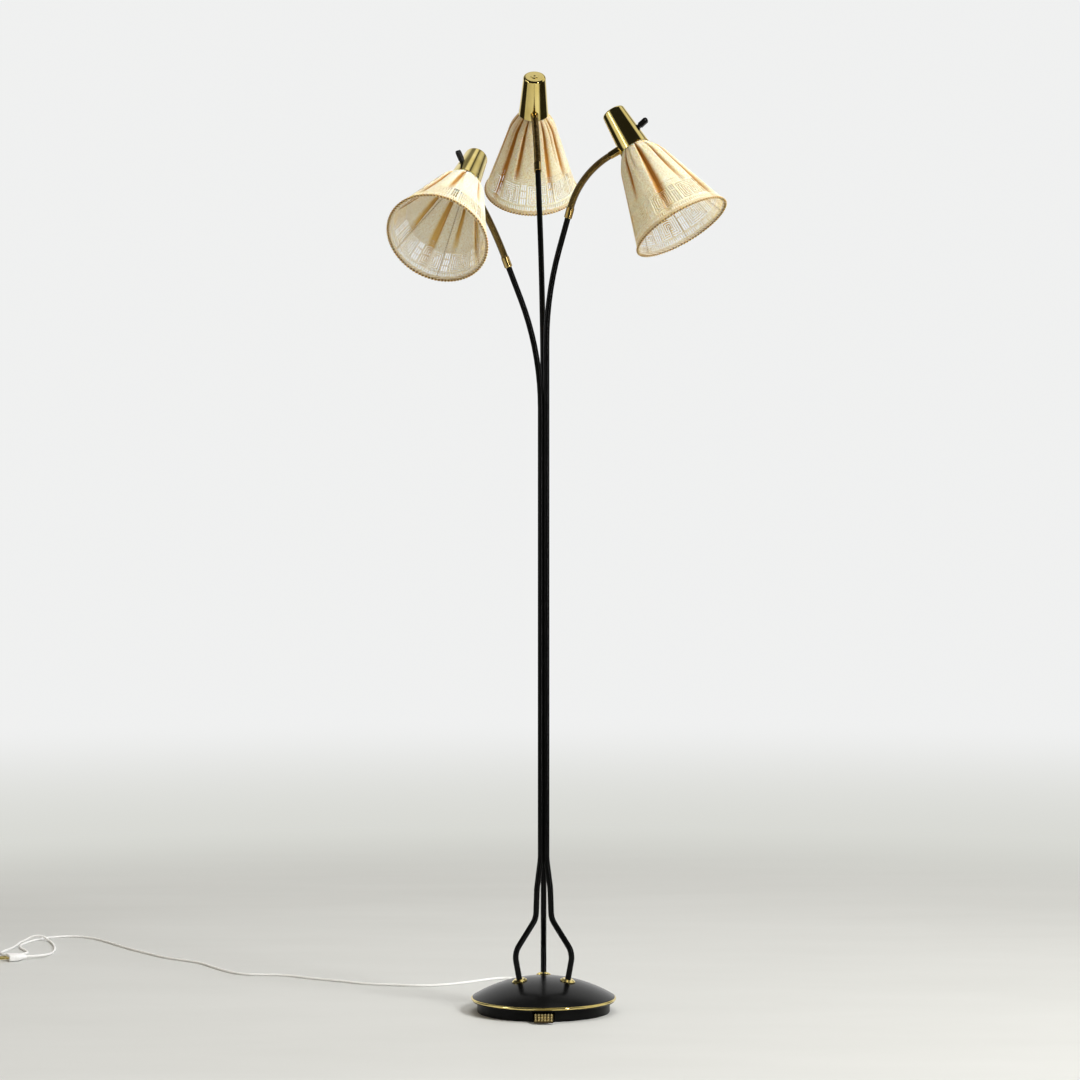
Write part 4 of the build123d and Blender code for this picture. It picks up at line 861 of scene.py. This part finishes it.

# %% [markdown]
# ## Sew the shades
#
# The rows follow the cloth from the cap down: plain weave, a net of short slits, a solid line, the
# squares, a ladder of long slits and the hem. A Solidify modifier gives the sheet its thickness and
# puts the inside finish on the inner wall. Each cloth has painted shade that grows towards its top,
# by a different amount on each shade, and the rim is bound with slanting stitches.

# %% Shades
PLAIN_ROWS = 54
NET_DROP, NET_END = 99 * MM, 108.5 * MM         # all of these are distances below the cap
SQUARES_DROP, SQUARES_END = 110.5 * MM, 148.5 * MM
LADDER_DROP, LADDER_END = 150.3 * MM, 156.2 * MM
HEM_DROP = 157.7 * MM
SLANT_LENGTH = 175 * MM
drop_rows = np.concatenate([
    [-TUCK], np.linspace(0, NET_DROP, PLAIN_ROWS), cell_edges(NET_ROWS, NET_DROP, NET_END)[1:],
    [SQUARES_DROP], cell_edges(MOTIF, SQUARES_DROP, SQUARES_END)[1:], [LADDER_DROP], [LADDER_END],
    [HEM_DROP], np.linspace(HEM_DROP, SHADE_LENGTH, HEM_ROWS)[1:]])
rows = len(drop_rows) - 1
net_row = PLAIN_ROWS
motif_row = net_row + NET_ROWS + 1
ladder_row = motif_row + MOTIF + 1
square_height = (SQUARES_END - SQUARES_DROP) * SLANT_LENGTH / SHADE_LENGTH
print("rows of cloth:", rows, "squares", round(square_height / MM, 1), "mm high along the slant")


def openwork_mask(order):
    """True where cloth stays, for every cell of the grid, counted from the top row down."""
    mask = np.ones((rows, columns_round), bool)
    mask[net_row + 1:net_row + NET_ROWS:2, 1::2] = False
    mask[ladder_row, 1::2] = False
    for period in range(PERIODS):
        first = period * (MOTIF + BAND)
        mask[motif_row:motif_row + MOTIF, first:first + MOTIF] = turned_squares[order[period] % 4]
        mask[motif_row:motif_row + MOTIF, first + MOTIF:first + MOTIF + BAND] = band
    return mask


STITCHES = 94           # round the rim
STITCH_POINTS = 8
RIM_SIDES = 12
STITCH_SLANT = 1.3


def overcast_rim(head):
    """The bound edge: a thin ring whose section swells where a stitch wraps over it, at a slant.

    It returns the ring's points and how far each lies in the gap between two stitches, which sets the
    painted shade there.
    """
    around = np.arange(STITCHES * STITCH_POINTS) * 2 * np.pi / (STITCHES * STITCH_POINTS)
    section = np.arange(RIM_SIDES) * 2 * np.pi / RIM_SIDES
    phase = STITCHES * around[:, None] + STITCH_SLANT * section[None, :]
    swell = np.clip(0.5 + 0.9 * np.cos(phase), 0, 1)
    thick = (0.8 + 1.5 * swell) * MM
    outward = np.cos(around)[:, None] * head["into"] + np.sin(around)[:, None] * head["side"]
    centre = (head["mouth"] + (SHADE_LENGTH - 0.4 * MM) * head["opening"]
              + outward * (RIM_RADIUS - 0.8 * MM))
    points = (centre[:, None] + thick[..., None] * (np.cos(section)[None, :, None] * outward[:, None]
              + np.sin(section)[None, :, None] * head["opening"]))
    closed = np.concatenate([points, points[:1]])
    painted_shade_share = 1 - np.concatenate([swell, swell[:1]])
    return closed, painted_shade_share


SHADE_SEEDS = {"left": 11, "right": 27, "back": 5}
PAINTED_TOP_SHADE = {"left": 0.03, "right": 0.12, "back": 0.20}      # how much painted shade each cloth has at its top
HEM_TINT = 0.20
for name, head in heads.items():
    seed = SHADE_SEEDS[name]
    drops, angle = np.meshgrid(drop_rows, column_angles, indexing="ij")
    radius, lean, fold_depth = folded_cloth(name, head, drops, angle, seed)
    radius[0] = np.minimum(radius[0], GATHER_RADIUS - 0.3 * MM)
    chance = np.random.default_rng(seed + 100)
    uneven = chance.normal(0, 0.10 * MM, radius.shape) * (drops > 0)
    points = cloth_grid(head, drops, angle, radius + 0.5 * uneven, lean + uneven / radius)
    painted_top_shade = PAINTED_TOP_SHADE[name] * np.clip(1 - drops / SHADE_LENGTH, 0, 1)
    hem = HEM_TINT * (drops > LADDER_END)
    shade = surface_piece(f"shade_cloth_{name}", points, [cloth_outside, cloth_inside, cloth_edge],
                          keep=openwork_mask(chance.integers(0, 4, PERIODS)),
                          values={"fold": fold_depth / FOLD_DEPTH_AT_FULL_SHADE + painted_top_shade + hem}, uv_size=(0.48, 0.175))
    thickness = shade.modifiers.new("thickness", "SOLIDIFY")
    thickness.thickness = CLOTH_THICKNESS
    thickness.offset = -1.0
    thickness.material_offset = 1
    thickness.material_offset_rim = 2
    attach(shade, f"head_{name}")
    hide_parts(f"shade_{name}")
    rim_points, rim_gap_shade = overcast_rim(head)
    rim = surface_piece(f"shade_binding_{name}", rim_points, [cloth_edge], values={"fold": rim_gap_shade},
                        uv_size=(0.005, 0.54))
    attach(rim, f"head_{name}")
    print(name, "shade:", len(shade.data.polygons), "faces before thickness")

# %% [markdown]
# ## Floor and light
#
# The lamp stands on a plain pale floor in soft daylight from the upper right. Far off, the floor
# fades into the same pale grey as the world, so there is no hard horizon. Polished metal is only as
# lively as the room it mirrors, so reflections see a room of their own instead of that pale grey: a
# pale backdrop behind the lamp, soft windows at the sides and overhead, darkness everywhere else,
# and a floor that goes dark away from the lamp. What is seen directly or through glass stays pale.

# %% Room that reflections see
BACKGROUND = (0.870, 0.875, 0.872, 1)
WINDOW_FLATTENING = (1.0, 1.0, 0.6)
# each window: the way towards it, the cosines at which its glow starts and is full, its strength
ROOM_WINDOWS = (((0.0, 1.0, 0.0), 0.62, 0.84, 0.87), ((0.80, 0.15, 0.58), 0.84, 0.95, 0.85),
                ((-0.95, -0.28, 0.10), 0.88, 0.965, 0.85), ((0.15, 0.15, 0.97), 0.90, 0.97, 1.2),
                ((-0.10, 0.45, 0.85), 0.60, 0.95, 0.20))
BACKDROP_WINDOW = (((0.0, 1.0, 0.0), 0.70, 0.90, 1.0),)


def glow_of(tree, direction, windows, rest):
    """Brightness in a direction: the largest of the windows' soft patches and the dark rest.

    The direction's height counts for less than its sideways parts, which makes the windows tall.
    """
    flat = add_node(tree, "ShaderNodeVectorMath", {"operation": "NORMALIZE"},
                    in_0=stretched(tree, direction, WINDOW_FLATTENING)).outputs["Vector"]
    glow = rest
    for way, low, high, strength in windows:
        middle = tuple(unit(np.array(way) * WINDOW_FLATTENING))
        towards = add_node(tree, "ShaderNodeVectorMath", {"operation": "DOT_PRODUCT"}, in_0=flat,
                           in_1=middle).outputs["Value"]
        glow = calculated(tree, "MAXIMUM", smooth_step(tree, towards, low, high, strength), glow)
    return glow


# %% Floor
floor_mesh = bpy.data.meshes.new("floor")
FLOOR_REACH = 30
floor_corners = [(x * FLOOR_REACH, y * FLOOR_REACH, 0) for x, y in ((-1, -1), (1, -1), (1, 1), (-1, 1))]
floor_mesh.from_pydata(floor_corners, [], [(0, 1, 2, 3)])
floor = placed("floor", floor_mesh)
floor_finish, floor_tree, floor_shader = new_finish("floor", Roughness=0.6, Specular_IOR_Level=0.12)
floor_place = object_point(floor_tree)
floor_cloud = noise(floor_tree, stretched(floor_tree, floor_place, (0.7, 2.4, 1.0)), 2.2, 5.0, 0.6)
floor_colour = mixed_colour(floor_tree, floor_cloud, (0.632, 0.644, 0.628, 1), (0.705, 0.717, 0.705, 1))
floor_tree.links.new(floor_colour, floor_shader.inputs["Base Color"])
far = add_node(floor_tree, "ShaderNodeVectorMath", {"operation": "LENGTH"},
               in_0=floor_place).outputs["Value"]


def fade(start, end, distance=far):
    """A smooth step from one distance from the lamp, or from another place, to a longer one."""
    return smooth_step(floor_tree, distance, start, end)


glow_colour = mixed_colour(floor_tree, fade(2.4, 8.0), (0.685, 0.690, 0.650, 1), BACKGROUND)
glow = add_node(floor_tree, "ShaderNodeEmission", Color=glow_colour, Strength=1.0)
floor_mix = add_node(floor_tree, "ShaderNodeMixShader", in_0=fade(1.5, 3.2),
                     in_1=floor_shader.outputs["BSDF"], in_2=glow.outputs["Emission"])
from_left = add_node(floor_tree, "ShaderNodeVectorMath", {"operation": "DISTANCE"}, in_0=floor_place,
                     in_1=(-0.8, -0.2, 0.0)).outputs["Value"]
unlit = calculated(floor_tree, "SUBTRACT", 1.0, glow_of(floor_tree, floor_place, BACKDROP_WINDOW, 0.0))
unlit = calculated(floor_tree, "MULTIPLY", unlit, fade(1.9, 2.8, from_left))
in_mirror = add_node(floor_tree, "ShaderNodeLightPath").outputs["Is Glossy Ray"]
unlit = calculated(floor_tree, "MULTIPLY", unlit, in_mirror)
dark_floor = add_node(floor_tree, "ShaderNodeEmission", Color=(0.02, 0.018, 0.012, 1), Strength=1.0)
mirrored_floor = add_node(floor_tree, "ShaderNodeMixShader", in_0=unlit, in_1=floor_mix.outputs["Shader"],
                          in_2=dark_floor.outputs["Emission"])
floor_tree.links.new(mirrored_floor.outputs["Shader"],
                     floor_tree.nodes["Material Output"].inputs["Surface"])
floor_mesh.materials.append(floor_finish)

# %% World
world = bpy.data.worlds.new("studio")
bpy.context.scene.world = world
world.use_nodes = True
sky = world.node_tree
background = sky.nodes["Background"]
rays = add_node(sky, "ShaderNodeLightPath")
direction = add_node(sky, "ShaderNodeTexCoord").outputs["Generated"]
sideways_part = add_node(sky, "ShaderNodeSeparateXYZ", Vector=direction).outputs["X"]
from_right = spread(sky, sideways_part, -1.0, 1.0)
daylight = mixed_colour(sky, from_right, (0.36, 0.305, 0.215, 1), (0.47, 0.48, 0.50, 1))
mirrored = mixed_colour(sky, glow_of(sky, direction, ROOM_WINDOWS, 0.02), (0, 0, 0, 1), (1, 1, 0.99, 1))
seen = calculated(sky, "MAXIMUM", rays.outputs["Is Camera Ray"], rays.outputs["Is Transmission Ray"])
lit = mixed_colour(sky, rays.outputs["Is Glossy Ray"], daylight, mirrored)
sky.links.new(mixed_colour(sky, seen, lit, BACKGROUND), background.inputs["Color"])


# %% Lamps
def soft_light(name, place, target, size, watts, colour=(1, 1, 1)):
    """A rectangular area light at a place, turned towards a target."""
    data = bpy.data.lights.new(name, "AREA")
    data.shape = "RECTANGLE"
    data.size, data.size_y = size
    data.energy = watts
    data.color = colour
    light = placed(name, data)
    light.location = place
    away = Vector(place) - Vector(target)
    light.rotation_euler = away.to_track_quat("Z", "Y").to_euler()
    return light


key = soft_light("key", (2.8, -2.4, 3.3), (0.0, 0.0, 1.1), (1.2, 1.6), 188, (1.0, 0.985, 0.96))
key.visible_glossy = False
for strip in (soft_light("right strip", (2.2, -2.8, 1.2), (0.0, 0.0, 1.2), (0.12, 2.3), 26),
              soft_light("left strip", (-2.9, -1.4, 1.3), (0.0, 0.0, 1.1), (0.16, 2.2), 10)):
    strip.visible_diffuse = False
top_light = soft_light("top", (0.2, 0.8, 4.2), (0.0, 0.2, 0.8), (2.2, 2.2), 46)
top_light.visible_glossy = False
print("floor, world and four lights ready")

# %% Finish
bpy.context.scene.view_settings.view_transform = "Standard"
bpy.context.view_layer.update()
